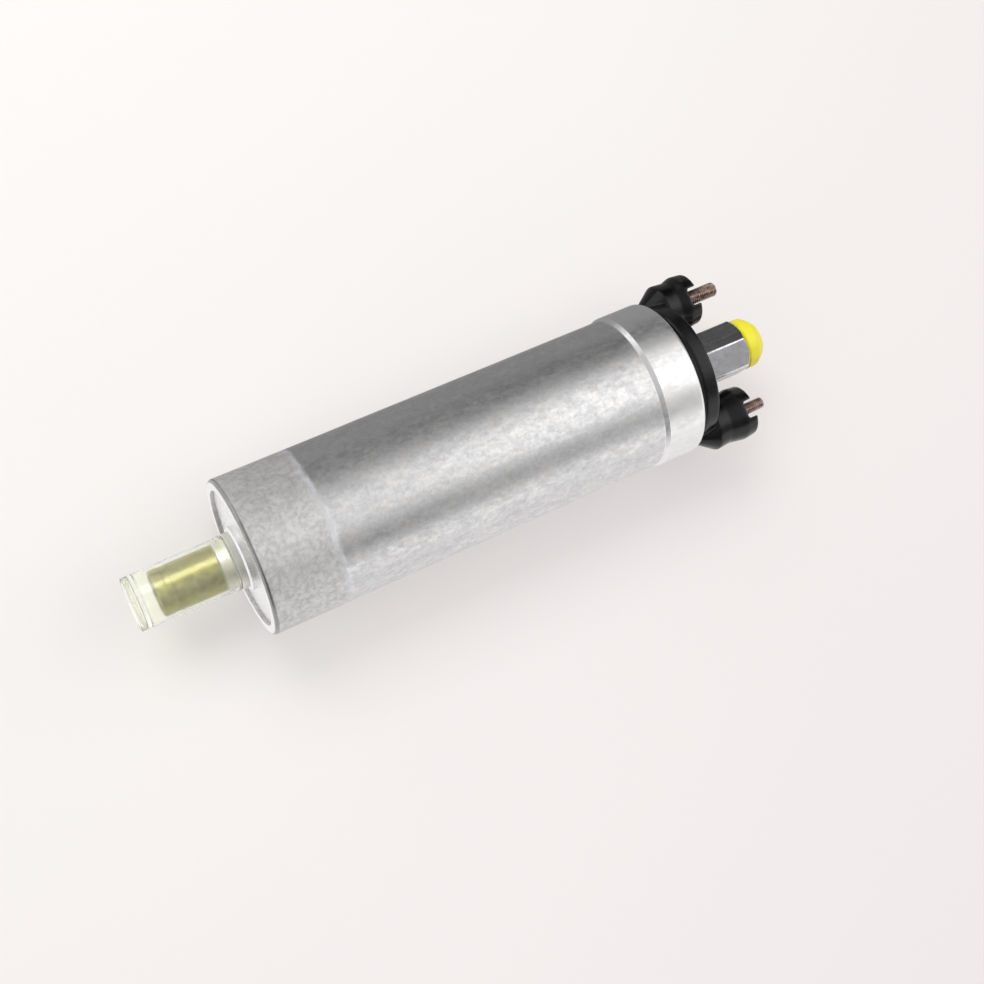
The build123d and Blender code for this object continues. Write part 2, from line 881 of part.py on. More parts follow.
def commutator_segments():
    """Eight flat copper segments, each with a hook for its coil's wire."""
    back = commutator_face - segment_thickness
    sweep_angle = 360 / slot_count - degrees(segment_gap / segment_outer)
    plate = slab(ring_sector(segment_outer, segment_inner, 0, sweep_angle), back, commutator_face)
    hook_outline = Pos(segment_outer, 0) * Rectangle(hook_height, hook_width)
    hook = slab(hook_outline, back + segment_thickness / 2 - hook_length, back + segment_thickness / 2)
    return group(around(plate + hook, slot_count))


def holder_box(width, height, x_from, x_to, side):
    """A rectangular block along a brush's line of travel."""
    return slab(Pos(side * brush_y, 0) * Rectangle(height, width), x_from, x_to)


def brush_carrier():
    """Moulded carrier: a disc, the rear bearing's hub and two brush boxes."""
    carrier = rod(core_fit_radius, carrier_x, cap_x)
    carrier += rod(bush_radius + hub_wall, carrier_hub_x, carrier_x + overlap)
    slot_w, slot_h = brush_width + 2 * sliding_gap, brush_height + 2 * sliding_gap
    for side in (1, -1):
        outer_w, outer_h = slot_w + 2 * holder_wall, slot_h + 2 * holder_wall
        box = holder_box(outer_w, outer_h, holder_start, holder_end, side)
        carrier += box - rod(hub_clear_radius, holder_start, carrier_x)
    for side in (1, -1):
        carrier -= holder_box(slot_w, slot_h, holder_start, holder_end - holder_back, side)
        way = Pos(side * (brush_y + brush_height), 0) * Rectangle(brush_height, lead_slot)
        carrier -= slab(way, holder_start + lead_slot_depth, holder_end - holder_back)
        carrier -= rod(lead_hole_radius, carrier_x, cap_x, side * lead_y)
    carrier -= rod(shaft_radius + hub_bore_gap, carrier_hub_x, rear_bush_x)
    carrier -= rod(bush_radius + seat_gap, rear_bush_x, rear_bush_x + rear_bush_length)
    carrier -= rod(retainer_radius + seat_gap, rear_bush_x + rear_bush_length, cap_x)
    for middle in (90, -90):
        for step in (-1, 0, 1):
            centre = polar(flow_hole_circle, middle + step * flow_hole_step)
            carrier -= rod(flow_hole_radius, carrier_x, cap_x, *centre)
    return carrier


def brush(side):
    """Carbon block pressed on the commutator."""
    x_from = commutator_face + running_gap
    block = holder_box(brush_width, brush_height, x_from, x_from + brush_length, side)
    return chamfer(block.edges().filter_by(Axis.X), brush_chamfer)


def brush_spring(side):
    x_from = commutator_face + running_gap + brush_length + seat_gap
    x_to = holder_end - holder_back - seat_gap
    return spring(brush_spring_radius, brush_spring_wire, x_from, x_to, brush_turns, side * brush_y)


def brush_lead(side):
    """Flexible braid from the brush's outer face to its terminal strap."""
    start_x = commutator_face + brush_length - lead_exit
    face_y = brush_y + brush_height / 2 + running_gap
    route = FilletPolyline(
        (start_x, side * face_y, 0),
        (start_x, side * lead_y, 0),
        (strap_start, side * lead_y, 0),
        radius=lead_bend,
    )
    section = Plane(route @ 0, z_dir=route % 0) * Circle(lead_radius)
    return sweep(section, route)


def terminal_strap(side, clearance=0.0):
    """Folded brass strip from the brush lead up to the stud's foot."""
    thick, wide = strap_thickness + 2 * clearance, strap_width + 2 * clearance
    foot = rim + tower_shoulder - stud_head - strap_thickness
    end_y = tower_y + strap_width / 2 + clearance
    run = slab(Pos(side * lead_y, 0) * Rectangle(thick, wide), strap_start, foot + strap_thickness / 2)
    low_y = lead_y - thick / 2
    tab_outline = Pos(side * (low_y + end_y) / 2, 0) * Rectangle(end_y - low_y, wide)
    return run + slab(tab_outline, foot - clearance, foot + strap_thickness + clearance)


class Terminal(NamedTuple):
    """The sizes of one screw terminal. The engaged radius is the thread's pitch radius, inside the nut."""

    side: int
    thread_radius: float
    engaged_radius: float
    nut_across_flats: float
    nut_height: float
    washer_radius: float
    washer_thickness: float
    tower_top: float


# The two terminals differ in size so that the wires can't be swapped: M5 and M4
positive = Terminal(1, 2.5, 2.24, 8.0, 4.7, 5.0, 1.0, 20.9)
negative = Terminal(-1, 2.0, 1.77, 7.0, 3.8, 4.5, 0.8, 23.8)


def nut_station(terminal):
    """Where a terminal's nut starts and ends, above its washer on the tower's floor."""
    start = rim + tower_floor + terminal.washer_thickness
    return start, start + terminal.nut_height


def terminal_stud(terminal):
    """Screwed stud. Inside the nut the thread is drawn at its pitch radius, and free at its full radius."""
    thread = terminal.thread_radius
    head_x = rim + tower_shoulder - stud_head
    floor = rim + tower_floor
    tip = rim + stud_reach
    free_x = nut_station(terminal)[1] + stud_free_gap
    stud = turned(
        (head_x, 0.0),
        (head_x, stud_head_radius),
        (head_x + stud_head, stud_head_radius),
        (head_x + stud_head, stud_shank_radius),
        (floor, stud_shank_radius),
        (floor, terminal.engaged_radius),
        (free_x, terminal.engaged_radius),
        (free_x, thread),
        (tip - tip_chamfer, thread),
        (tip, thread - tip_chamfer),
        (tip, 0.0),
    )
    return Pos(0, terminal.side * tower_y, 0) * stud


def terminal_washer(terminal):
    floor = rim + tower_floor
    hole = terminal.thread_radius + screw_gap
    top = floor + terminal.washer_thickness
    return sleeve(terminal.washer_radius, hole, floor, top, terminal.side * tower_y)


def terminal_nut(terminal):
    """Hexagon nut with chamfered corners."""
    start, end = nut_station(terminal)
    nut = hexagon_bar(terminal.nut_across_flats, start, end, nut_chamfer, nut_chamfer_height)
    nut -= rod(terminal.engaged_radius + seat_gap, start, end)
    return Pos(0, terminal.side * tower_y, 0) * nut


def terminal_tower(terminal):
    """Crowned tower about its own axis, with a nut pocket, a deep slot for the lug on the far side
    and a shallow notch for a spanner's jaw on the near side."""
    top = rim + terminal.tower_top
    tower = turned(
        (rim + tower_foot, 0.0),
        (rim + tower_foot, tower_foot_radius),
        (rim + tower_shoulder, tower_shoulder_radius),
        (rim + tower_waist, tower_waist_radius),
        (top - tower_crown, tower_crown_radius),
        (top, tower_top_radius, tower_rounding),
        (top, 0.0),
    )
    tower -= rod(tower_pocket_radius, rim + tower_floor, top)
    openings = (
        (-1, tower_slot_width, terminal.tower_top - tower_floor),
        (1, tower_notch_width, tower_notch_depth),
    )
    for side, width, depth in openings:
        outline = Pos(top, 0) * Rectangle(2 * depth, width)
        outline = fillet(outline.vertices().group_by(Axis.X)[0], tower_notch_rounding)
        tower -= extrude(outline, amount=2 * tower_crown_radius, dir=(0, 0, side))
    return tower


def end_cap_body():
    """Turned form of the closure: skirt, O-ring groove, neck through the rolled lip, outer disc."""
    return turned(
        (cap_x, cap_chamber_radius),
        (cap_x, core_fit_radius),
        (end_groove_x, core_fit_radius),
        (end_groove_x, groove_floor),
        (end_groove_x + groove_width, groove_floor),
        (end_groove_x + groove_width, core_fit_radius),
        (stack_end, core_fit_radius),
        (stack_end, cap_neck_radius),
        (rim + cap_neck_reach, cap_neck_radius),
        (rim + cap_disc_start, cap_disc_radius),
        (cap_face, cap_disc_radius, cap_edge_rounding),
        (cap_face, cap_boss_radius),
        (seal_x, cap_boss_radius - cap_boss_taper),
        (seal_x, 0.0),
        (cap_x + cap_chamber, 0.0),
        (cap_x + cap_chamber, cap_chamber_radius - cap_chamber_chamfer),
        (cap_x + cap_chamber - cap_chamber_chamfer, cap_chamber_radius),
    )


def end_cap():
    """Black moulded closure: disc, raised centre, two terminal towers, webs and moulded-in recesses."""
    cap = end_cap_body()
    pocket_outer = core_fit_radius - pocket_outer_wall
    pocket_inner = insert_radius + pocket_inner_wall
    face_pocket_outer = cap_disc_radius - face_pocket_rim
    face_pocket_inner = cap_boss_radius + face_pocket_land
    for middle in (90, -90):
        inner_pocket = ring_sector(pocket_outer, pocket_inner, middle, pocket_sweep)
        cap -= slab(inner_pocket, cap_x + cap_chamber, cap_face - pocket_roof)
        for turn in (-face_pocket_turn, face_pocket_turn):
            face_pocket = ring_sector(face_pocket_outer, face_pocket_inner, middle + turn, face_pocket_sweep)
            cap -= slab(face_pocket, cap_face - face_pocket_depth, cap_face)
    web_inner = cap_boss_radius - cap_boss_taper - overlap
    web_outer = tower_y - tower_waist_radius + overlap
    web = Rectangle(web_outer - web_inner, cap_web_thickness)
    for terminal in (positive, negative):
        side = terminal.side
        cap += Pos(0, side * tower_y, 0) * terminal_tower(terminal)
        web_place = Pos(side * (web_inner + web_outer) / 2, 0)
        cap += slab(web_place * web, cap_face - overlap, cap_face + cap_web_height)
    foot = rim + tower_shoulder - stud_head
    for side in (1, -1):
        cap -= terminal_strap(side, seat_gap)
        head_end = foot + stud_head + seat_gap
        cap -= rod(stud_head_radius + seat_gap, foot - seat_gap, head_end, side * tower_y)
        cap -= rod(stud_shank_radius + seat_gap, foot, rim + tower_floor, side * tower_y)
    cap -= rod(insert_radius + seat_gap, insert_start - seat_gap, seal_x)
    cap -= rod(stem_radius - 1, cap_x + cap_chamber, insert_start)
    return cap


def end_cap_oring():
    return seal_ring(end_groove_x)


def outlet_insert():
    """Threaded metal bush moulded into the end cap, with two holding grooves."""
    step = (seal_x - insert_start) / 5
    depth = insert_radius - insert_groove
    return turned(
        (insert_start, stem_radius + seat_gap),
        (insert_start, insert_radius),
        (insert_start + step, insert_radius),
        (insert_start + step, depth),
        (insert_start + 2 * step, depth),
        (insert_start + 2 * step, insert_radius),
        (insert_start + 3 * step, insert_radius),
        (insert_start + 3 * step, depth),
        (insert_start + 4 * step, depth),
        (insert_start + 4 * step, insert_radius),
        (seal_x, insert_radius),
        (seal_x, stem_radius + seat_gap),
    )


def outlet_seal():
    """Soft sealing washer under the hexagon."""
    return sleeve(stem_radius + seal_width, stem_radius + seat_gap, seal_x, hex_x)


def outlet_fitting():
    """Hexagon fitting: screwed stem, valve chamber, screwed port and a plain recess at its mouth."""
    body = hexagon_bar(hex_across_flats, hex_x, fitting_end, hex_chamfer, hex_chamfer_height, hex_turn)
    body += rod(stem_radius, stem_start, hex_x)
    body -= rod(valve_seat_radius, stem_start, valve_seat_x)
    body -= rod(valve_chamber_radius, valve_seat_x, thread_start)
    body -= rod(port_thread_radius, thread_start, thread_end)
    return body - rod(port_recess_radius, thread_end, fitting_end)


def check_valve_poppet():
    """Non-return poppet: nose in the seat, sealing head, three guide wings and a spring stem."""
    head_x = valve_seat_x + poppet_seat_gap
    head_end = head_x + poppet_head
    stem_end = valve_retainer_x - valve_lift - valve_end_gap
    poppet = turned(
        (head_x - poppet_nose, 0.0),
        (head_x - poppet_nose, valve_seat_radius - poppet_nose_step),
        (head_x, valve_seat_radius - 4 * poppet_seat_gap),
        (head_x, poppet_radius),
        (head_end, poppet_radius),
        (head_end, poppet_stem_radius),
        (stem_end, poppet_stem_radius),
        (stem_end, 0.0),
    )
    wing_place = Pos(poppet_wing_radius - poppet_wing_depth / 2, 0)
    wing_outline = (wing_place * Rectangle(poppet_wing_depth, poppet_wing_width)) & Circle(poppet_wing_radius)
    wing_end = head_x + poppet_wing_length
    for copy in around(slab(wing_outline, head_x, wing_end), poppet_wing_count):
        poppet += copy
    return poppet


def check_valve_retainer():
    """Pierced disc that the valve spring leans on."""
    disc = Circle(valve_chamber_radius - seat_gap) - Circle(retainer_disc_bore)
    for index in range(retainer_disc_holes):
        place = polar(retainer_disc_circle, 360 / retainer_disc_holes * index)
        disc -= Pos(*place) * Circle(retainer_disc_hole)
    return slab(disc, valve_retainer_x, valve_retainer_x + retainer_disc)


def check_valve_spring():
    x_from = valve_seat_x + poppet_seat_gap + poppet_head + seat_gap
    x_to = valve_retainer_x - seat_gap
    return spring(valve_spring_radius, valve_spring_wire, x_from, x_to, valve_turns)


def outlet_cap():
    """Domed dust plug: a wide head on the hexagon's end, a hollow skirt in the port's recess."""
    skirt_radius = port_recess_radius - sliding_gap
    shoulder = (fitting_end + seat_gap + outlet_cap_side, outlet_cap_radius)
    crown = (fitting_end + outlet_cap_height, outlet_cap_crown_radius)
    dome = RadiusArc(shoulder, crown, outlet_cap_dome)
    head_x = fitting_end + seat_gap
    skirt_x = thread_end + outlet_cap_skirt_gap
    rest = Polyline(
        crown,
        (crown[0], 0.0),
        (crown[0] - outlet_cap_wall, 0.0),
        (crown[0] - outlet_cap_wall, outlet_cap_crown_radius - outlet_cap_wall / 2),
        (shoulder[0], outlet_cap_cavity),
        (skirt_x, outlet_cap_cavity),
        (skirt_x, skirt_radius),
        (head_x, skirt_radius),
        (head_x, outlet_cap_radius),
        shoulder,
    )
    return revolve(make_face(dome + rest), Axis.X)


nodes = {
    "housing_tube": housing_tube,
    "inlet_cover": inlet_cover,
    "inlet_oring": inlet_oring,
    "inlet_spigot": inlet_spigot,
    "inlet_strainer": inlet_strainer,
    "inlet_cap": inlet_cap,
    "pump_inlet_plate": pump_inlet_plate,
    "pump_ring": pump_ring,
    "gerotor_inner": gerotor_inner,
    "gerotor_outer": gerotor_outer,
    "pump_outlet_plate": pump_outlet_plate,
    "pump_screws": pump_screws,
    "relief_ball": relief_ball,
    "relief_spring": relief_spring,
    "relief_plug": relief_plug,
    "front_bearing": front_bearing,
    "flux_ring": flux_ring,
    "magnet_north": lambda: magnet(90),
    "magnet_south": lambda: magnet(-90),
    "magnet_clips": magnet_clips,
    "armature_shaft": armature_shaft,
    "armature_core": armature_core,
    "armature_insulators": armature_insulators,
    "armature_windings": armature_windings,
    "commutator_hub": commutator_hub,
    "commutator_segments": commutator_segments,
    "thrust_washers": thrust_washers,
    "brush_carrier": brush_carrier,
    "rear_bearing": rear_bearing,
    "bearing_retainer": bearing_retainer,
    "brush_pos": lambda: brush(1),
    "brush_neg": lambda: brush(-1),
    "brush_spring_pos": lambda: brush_spring(1),
    "brush_spring_neg": lambda: brush_spring(-1),
    "brush_lead_pos": lambda: brush_lead(1),
    "brush_lead_neg": lambda: brush_lead(-1),
    "terminal_strap_pos": lambda: terminal_strap(1),
    "terminal_strap_neg": lambda: terminal_strap(-1),
    "terminal_stud_pos": lambda: terminal_stud(positive),
    "terminal_stud_neg": lambda: terminal_stud(negative),
    "terminal_washer_pos": lambda: terminal_washer(positive),
    "terminal_washer_neg": lambda: terminal_washer(negative),
    "terminal_nut_pos": lambda: terminal_nut(positive),
    "terminal_nut_neg": lambda: terminal_nut(negative),
    "end_cap": end_cap,
    "end_cap_oring": end_cap_oring,
    "outlet_insert": outlet_insert,
    "outlet_seal": outlet_seal,
    "outlet_fitting": outlet_fitting,
    "check_valve_poppet": check_valve_poppet,
    "check_valve_spring": check_valve_spring,
    "check_valve_retainer": check_valve_retainer,
    "outlet_cap": outlet_cap,
}

os.makedirs("parts", exist_ok=True)
for name, make in nodes.items():
    export_step(make(), f"parts/{name}.step")
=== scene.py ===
from math import atan2, ceil, cos, pi, radians, sin, tan

import bmesh
import bpy
from mathutils import Matrix, Vector


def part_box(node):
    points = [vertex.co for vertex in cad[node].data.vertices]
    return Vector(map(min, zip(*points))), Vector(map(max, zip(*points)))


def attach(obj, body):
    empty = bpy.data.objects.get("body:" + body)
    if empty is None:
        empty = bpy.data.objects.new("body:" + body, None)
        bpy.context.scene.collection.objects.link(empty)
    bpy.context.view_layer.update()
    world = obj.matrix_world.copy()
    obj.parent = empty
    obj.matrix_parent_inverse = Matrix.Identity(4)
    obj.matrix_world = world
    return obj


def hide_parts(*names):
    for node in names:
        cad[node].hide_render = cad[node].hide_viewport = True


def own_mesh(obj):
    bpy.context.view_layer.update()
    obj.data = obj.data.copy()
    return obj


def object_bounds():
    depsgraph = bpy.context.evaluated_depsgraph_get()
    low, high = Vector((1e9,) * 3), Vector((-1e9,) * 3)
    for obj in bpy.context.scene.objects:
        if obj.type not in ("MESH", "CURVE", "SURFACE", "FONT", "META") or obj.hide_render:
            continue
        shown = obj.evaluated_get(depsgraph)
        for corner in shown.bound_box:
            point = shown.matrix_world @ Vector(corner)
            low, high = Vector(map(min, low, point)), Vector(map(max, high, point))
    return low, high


# An in-line fuel pump lying on a pale table, dust caps still on both ports.
# The pump axis is X, the terminals stand at +Y and -Y, and the shell rests on the floor.
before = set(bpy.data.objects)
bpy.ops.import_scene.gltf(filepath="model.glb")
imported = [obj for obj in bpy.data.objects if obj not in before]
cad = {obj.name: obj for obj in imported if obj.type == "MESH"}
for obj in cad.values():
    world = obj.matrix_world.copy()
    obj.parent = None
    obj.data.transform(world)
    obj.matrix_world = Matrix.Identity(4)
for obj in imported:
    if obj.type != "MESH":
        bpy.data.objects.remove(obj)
cad_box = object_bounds()
mm = 0.001


# Housing tube
# A steel tube drawn to size, plated, and rolled over at both ends onto the stack inside.
# A band at the inlet end was masked from the plating, and the outlet end has a raised collar.
def rounded(profile, steps=5):
    """The outline of a turned form. A point with a third value has its corner rounded to it."""
    points = []
    for index, point in enumerate(profile):
        corner = Vector(point[:2])
        if len(point) < 3:
            points.append(corner)
            continue
        before = (Vector(profile[index - 1][:2]) - corner).normalized()
        after = (Vector(profile[(index + 1) % len(profile)][:2]) - corner).normalized()
        half = before.angle(after) / 2
        middle = corner + (before + after).normalized() * point[2] / sin(half)
        start = corner + before * point[2] / tan(half) - middle
        end = corner + after * point[2] / tan(half) - middle
        angle = atan2(start.y, start.x)
        sweep = (atan2(end.y, end.x) - angle + pi) % (2 * pi) - pi
        for step in range(steps + 1):
            here = angle + sweep * step / steps
            points.append(middle + Vector((cos(here), sin(here))) * point[2])
    return points


def skin(name, rows, segments, closed=True, centre=(0.0, 0.0)):
    """Rows of points round an axis along X, joined by faces. A row is (x, radius) or a function of
    the angle that gives both, all in millimetres. A radius of 0 gives one point, and closed joins
    the last row to the first."""
    mesh = bpy.data.meshes.new(name)
    build = bmesh.new()
    rings = []
    for row in rows:
        if not callable(row) and row[1] < 1e-6:
            rings.append([build.verts.new((row[0] * mm, centre[0] * mm, centre[1] * mm))])
            continue
        ring = []
        for index in range(segments):
            angle = 2 * pi * index / segments
            x, radius = row(angle) if callable(row) else row
            y = centre[0] + radius * cos(angle)
            z = centre[1] + radius * sin(angle)
            ring.append(build.verts.new((x * mm, y * mm, z * mm)))
        rings.append(ring)
    pairs = list(zip(rings, rings[1:]))
    if closed:
        pairs.append((rings[-1], rings[0]))
    for low, high in pairs:
        for index in range(segments):
            after = (index + 1) % segments
            if len(low) == 1 and len(high) == 1:
                continue
            if len(low) == 1:
                build.faces.new((low[0], high[index], high[after]))
            elif len(high) == 1:
                build.faces.new((low[index], high[0], low[after]))
            else:
                build.faces.new((low[index], high[index], high[after], low[after]))
    bmesh.ops.recalc_face_normals(build, faces=build.faces)
    build.to_mesh(mesh)
    build.free()
    mesh.shade_smooth()
    mesh.set_sharp_from_angle(angle=radians(38))
    return mesh


def fit(name, mesh, material, body, node):
    """Puts a mesh in the scene as a piece that rides on a body and stands for a CAD node."""
    mesh.materials.append(material)
    made = bpy.data.objects.new(name, mesh)
    bpy.context.scene.collection.objects.link(made)
    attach(made, body)
    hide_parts(node)
    return made


def turned(name, rows, material, body, slot, node, segments=96, **shape):
    """Makes a round piece from its rows and fits it."""
    fit(name, skin(name, rows, segments, **shape), material, body, node)


def dress(material, *nodes):
    """Gives CAD nodes a finish."""
    for node in nodes:
        piece = cad[node]
        if not piece.material_slots:
            piece.data.materials.append(material)
        for material_slot in piece.material_slots:
            material_slot.link = "OBJECT"
            material_slot.material = material


def put(tree, kind, inputs=None, **settings):
    """Adds a shader node. An input is a value or another node's output."""
    made = tree.nodes.new(kind)
    for key, value in settings.items():
        setattr(made, key, value)
    for key, value in (inputs or {}).items():
        if isinstance(value, bpy.types.NodeSocket):
            tree.links.new(value, made.inputs[key])
        else:
            made.inputs[key].default_value = value
    return made


def calc(tree, operation, first, second=0.0):
    """A sum or other calculation on one or two values."""
    made = put(tree, "ShaderNodeMath", {0: first, 1: second}, operation=operation)
    return made.outputs[0]


def times(tree, first, second):
    """The product of two values."""
    return calc(tree, "MULTIPLY", first, second)


def ramp(tree, value, low, high, to_low=0.0, to_high=1.0):
    """A value spread from low..high to to_low..to_high, smoothly."""
    made = put(
        tree,
        "ShaderNodeMapRange",
        {"Value": value, "From Min": low, "From Max": high, "To Min": to_low, "To Max": to_high},
        interpolation_type="SMOOTHSTEP",
    )
    return made.outputs["Result"]


def between(tree, mask, first, second):
    """Two values mixed by a mask."""
    return put(tree, "ShaderNodeMix", {0: mask, 2: first, 3: second}).outputs[0]


def blend(tree, mask, first, second):
    """Two colours mixed by a mask."""
    made = put(tree, "ShaderNodeMix", {0: mask, 6: first, 7: second}, data_type="RGBA")
    return made.outputs[2]


def tint(tree, tone, colour, mask, share):
    """A tone that goes towards a colour where a mask says so, by a share at most."""
    return blend(tree, times(tree, mask, share), tone, colour)


def place_on(tree):
    """Where a point lies on its own piece, in metres."""
    return put(tree, "ShaderNodeTexCoord").outputs["Object"]


def xyz(tree, vector):
    """The three parts of a vector."""
    return put(tree, "ShaderNodeSeparateXYZ", {0: vector}).outputs


def off_axis(tree, parts):
    """How far a point lies from the X axis, from its X, Y and Z."""
    squares = [times(tree, part, part) for part in parts[1:]]
    return calc(tree, "SQRT", calc(tree, "ADD", *squares))


def stretch(tree, vector, along, across):
    """A place scaled by one number along X and by another across it."""
    spread = put(tree, "ShaderNodeCombineXYZ", {0: along, 1: across, 2: across}).outputs[0]
    made = put(tree, "ShaderNodeVectorMath", {0: vector, 1: spread}, operation="MULTIPLY")
    return made.outputs[0]


def noise(tree, vector, seed, scale, detail, roughness=0.5):
    """Cloudy noise that changes with the seed and averages one half."""
    inputs = {
        "Vector": vector,
        "W": seed,
        "Scale": scale,
        "Detail": detail,
        "Roughness": roughness,
    }
    return put(tree, "ShaderNodeTexNoise", inputs, noise_dimensions="4D").outputs["Fac"]


def effect(name, inputs, outputs):
    """A shader node group with named number inputs and outputs."""
    group = bpy.data.node_groups.new(name, "ShaderNodeTree")
    for key, value in inputs.items():
        socket = group.interface.new_socket(key, in_out="INPUT", socket_type="NodeSocketFloat")
        socket.default_value = value
    for key in outputs:
        group.interface.new_socket(key, in_out="OUTPUT", socket_type="NodeSocketFloat")
    given = group.nodes.new("NodeGroupInput").outputs
    result = group.nodes.new("NodeGroupOutput").inputs
    return group, given, result


def use(tree, group, **values):
    """Places an effect in a material with its own values. Sizes are in millimetres."""
    made = tree.nodes.new("ShaderNodeGroup")
    made.node_tree = group
    for key, value in values.items():
        made.inputs[key.capitalize()].default_value = value
    return made.outputs


def finish(name, **constants):
    """A material and its Principled shader. A constant is set on the shader's own socket, and
    an underscore in its name stands for a space."""
    material = bpy.data.materials.new(name)
    material.use_nodes = True
    tree = material.node_tree
    shader = tree.nodes["Principled BSDF"]
    for key, value in constants.items():
        shader.inputs[key.replace("_", " ")].default_value = value
    return material, tree, shader


def feed(tree, shader, tone, rough):
    """Gives the shader its colour and its roughness."""
    tree.links.new(tone, shader.inputs["Base Color"])
    tree.links.new(rough, shader.inputs["Roughness"])


def bump(tree, shader, height, strength, depth):
    """A relief some hundredths of a millimetre deep, chained onto the shader's normal."""
    values = {"Height": height, "Strength": strength, "Distance": depth * mm}
    made = put(tree, "ShaderNodeBump", values)
    socket = shader.inputs["Normal"]
    if socket.is_linked:
        tree.links.new(socket.links[0].from_socket, made.inputs["Normal"])
    tree.links.new(made.outputs["Normal"], socket)


# Streaks that run along X, left by drawing, brushing or turning a bar
drawn_streaks, given, result = effect(
    "drawn_streaks", {"Spacing": 0.5, "Length": 30.0, "Seed": 0.0}, ["Streaks", "Height"]
)
where = place_on(drawn_streaks)
along = calc(drawn_streaks, "DIVIDE", 1 / mm, given["Length"])
across = calc(drawn_streaks, "DIVIDE", 1 / mm, given["Spacing"])
pulled = stretch(drawn_streaks, where, along, across)
grain = noise(drawn_streaks, pulled, given["Seed"], 0.5, 6.0, 0.62)
drawn_streaks.links.new(ramp(drawn_streaks, grain, 0.3, 0.7), result["Streaks"])
drawn_streaks.links.new(grain, result["Height"])

# Uneven patches, as on plating, oxide, dust or a moulded skin
mottle, given, result = effect("mottle", {"Size": 5.0, "Contrast": 0.5, "Seed": 0.0}, ["Patches"])
where = place_on(mottle)
scale = calc(mottle, "DIVIDE", 1 / mm, given["Size"])
clouds = noise(mottle, where, given["Seed"], scale, 5.0, 0.6)
centred = calc(mottle, "SUBTRACT", clouds, 0.5)
widened = times(mottle, centred, times(mottle, given["Contrast"], 6.0))
patches = put(mottle, "ShaderNodeClamp", {"Value": calc(mottle, "ADD", widened, 0.5)})
mottle.links.new(patches.outputs[0], result["Patches"])

# Edges rubbed bright or pale by handling and tools
edge_wear, given, result = effect(
    "edge_wear", {"Amount": 0.5, "Size": 2.0, "Seed": 0.0}, ["Wear"]
)
sharp = put(edge_wear, "ShaderNodeNewGeometry").outputs["Pointiness"]
where = place_on(edge_wear)
scale = calc(edge_wear, "DIVIDE", 1 / mm, given["Size"])
broken = noise(edge_wear, where, given["Seed"], scale, 3.0)
edges = ramp(edge_wear, sharp, 0.505, 0.56)
patchy = ramp(edge_wear, broken, 0.3, 0.65)
worn = times(edge_wear, times(edge_wear, edges, patchy), given["Amount"])
edge_wear.links.new(worn, result["Wear"])

# Fine scratches in two crossing directions, each a thin line where stretched noise is near 0.5
scratches, given, result = effect(
    "scratches", {"Spacing": 2.0, "Amount": 0.5, "Seed": 0.0}, ["Marks"]
)
where = place_on(scratches)
crossing = []
for slant in (24.0, -37.0):
    slanted = put(
        scratches,
        "ShaderNodeMapping",
        {"Vector": where, "Rotation": (radians(slant), radians(slant * 1.7), radians(slant))},
    ).outputs[0]
    close = calc(scratches, "DIVIDE", 1 / mm, given["Spacing"])
    thin = calc(scratches, "DIVIDE", close, 24.0)
    pulled = stretch(scratches, slanted, thin, close)
    lines = noise(scratches, pulled, given["Seed"], 1.0, 2.0)
    off_line = calc(scratches, "ABSOLUTE", calc(scratches, "SUBTRACT", lines, 0.5))
    crossing.append(ramp(scratches, off_line, 0.012, 0.0))
both = calc(scratches, "MAXIMUM", *crossing)
scratches.links.new(times(scratches, both, given["Amount"]), result["Marks"])

shell_low, shell_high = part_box("housing_tube")
rim = shell_high.x / mm
collar_radius = shell_high.y / mm
shell_radius = collar_radius - 0.7
bore = shell_radius - 1.5
lip_bore = shell_radius - 3.4
lip = rim - 1.3
collar_start = 63.4
band_start = -51.5
profile = [
    (-rim, lip_bore, 0.25),
    (-rim, shell_radius, 1.35),
    (collar_start - 1.5, shell_radius, 0.5),
    (collar_start, collar_radius, 0.5),
    (rim, collar_radius, 1.4),
    (rim, lip_bore, 0.25),
    (lip, lip_bore, 0.15),
    (lip, bore, 0.2),
    (-lip, bore, 0.2),
    (-lip, lip_bore, 0.15),
]
outline = rounded(profile, 7)
# Rows stand 2.5 mm apart at most, so that the wall has points enough to wander
shell_rows = []
for low, high in zip(outline, outline[1:] + outline[:1]):
    steps = max(1, ceil((high - low).length / 2.5))
    for step in range(steps):
        shell_rows.append(low.lerp(high, step / steps))


def shell_row(point):
    """The drawn wall is never quite true: it wanders by a few hundredths of a millimetre. Near
    the rims and on the collar it keeps its size."""
    def at(angle):
        away = 0.018 * sin(2 * angle + 0.045 * point.x) + 0.014 * sin(5 * angle - 0.083 * point.x)
        level = 0.012 * sin(0.21 * point.x + 3 * angle)
        free = min(1.0, max(0.0, rim - 4 - abs(point.x)) / 6) if point.x < collar_start else 0.0
        return point.x, point.y + (away + level - 0.045) * free
    return at


plated_steel, tree, shader = finish("plated_steel", Metallic=1.0)
parts = xyz(tree, place_on(tree))
x_here = times(tree, parts[0], 1 / mm)
away = times(tree, off_axis(tree, parts), 1 / mm)
fine = use(tree, drawn_streaks, spacing=0.7, length=1.5, seed=1.0)
broad = use(tree, drawn_streaks, spacing=1.9, length=3.8, seed=4.0)
clouds = use(tree, mottle, size=3.0, contrast=0.55, seed=2.0)["Patches"]
flecks = use(tree, mottle, size=0.9, contrast=0.9, seed=7.0)["Patches"]
specks = use(tree, mottle, size=1.7, contrast=0.9, seed=8.0)["Patches"]
marks = use(tree, scratches, spacing=3.0, amount=0.5, seed=3.0)["Marks"]
wear = use(tree, edge_wear, amount=1.0, size=3.0, seed=5.0)["Wear"]
wander = use(tree, mottle, size=7.0, contrast=0.5, seed=9.0)["Patches"]
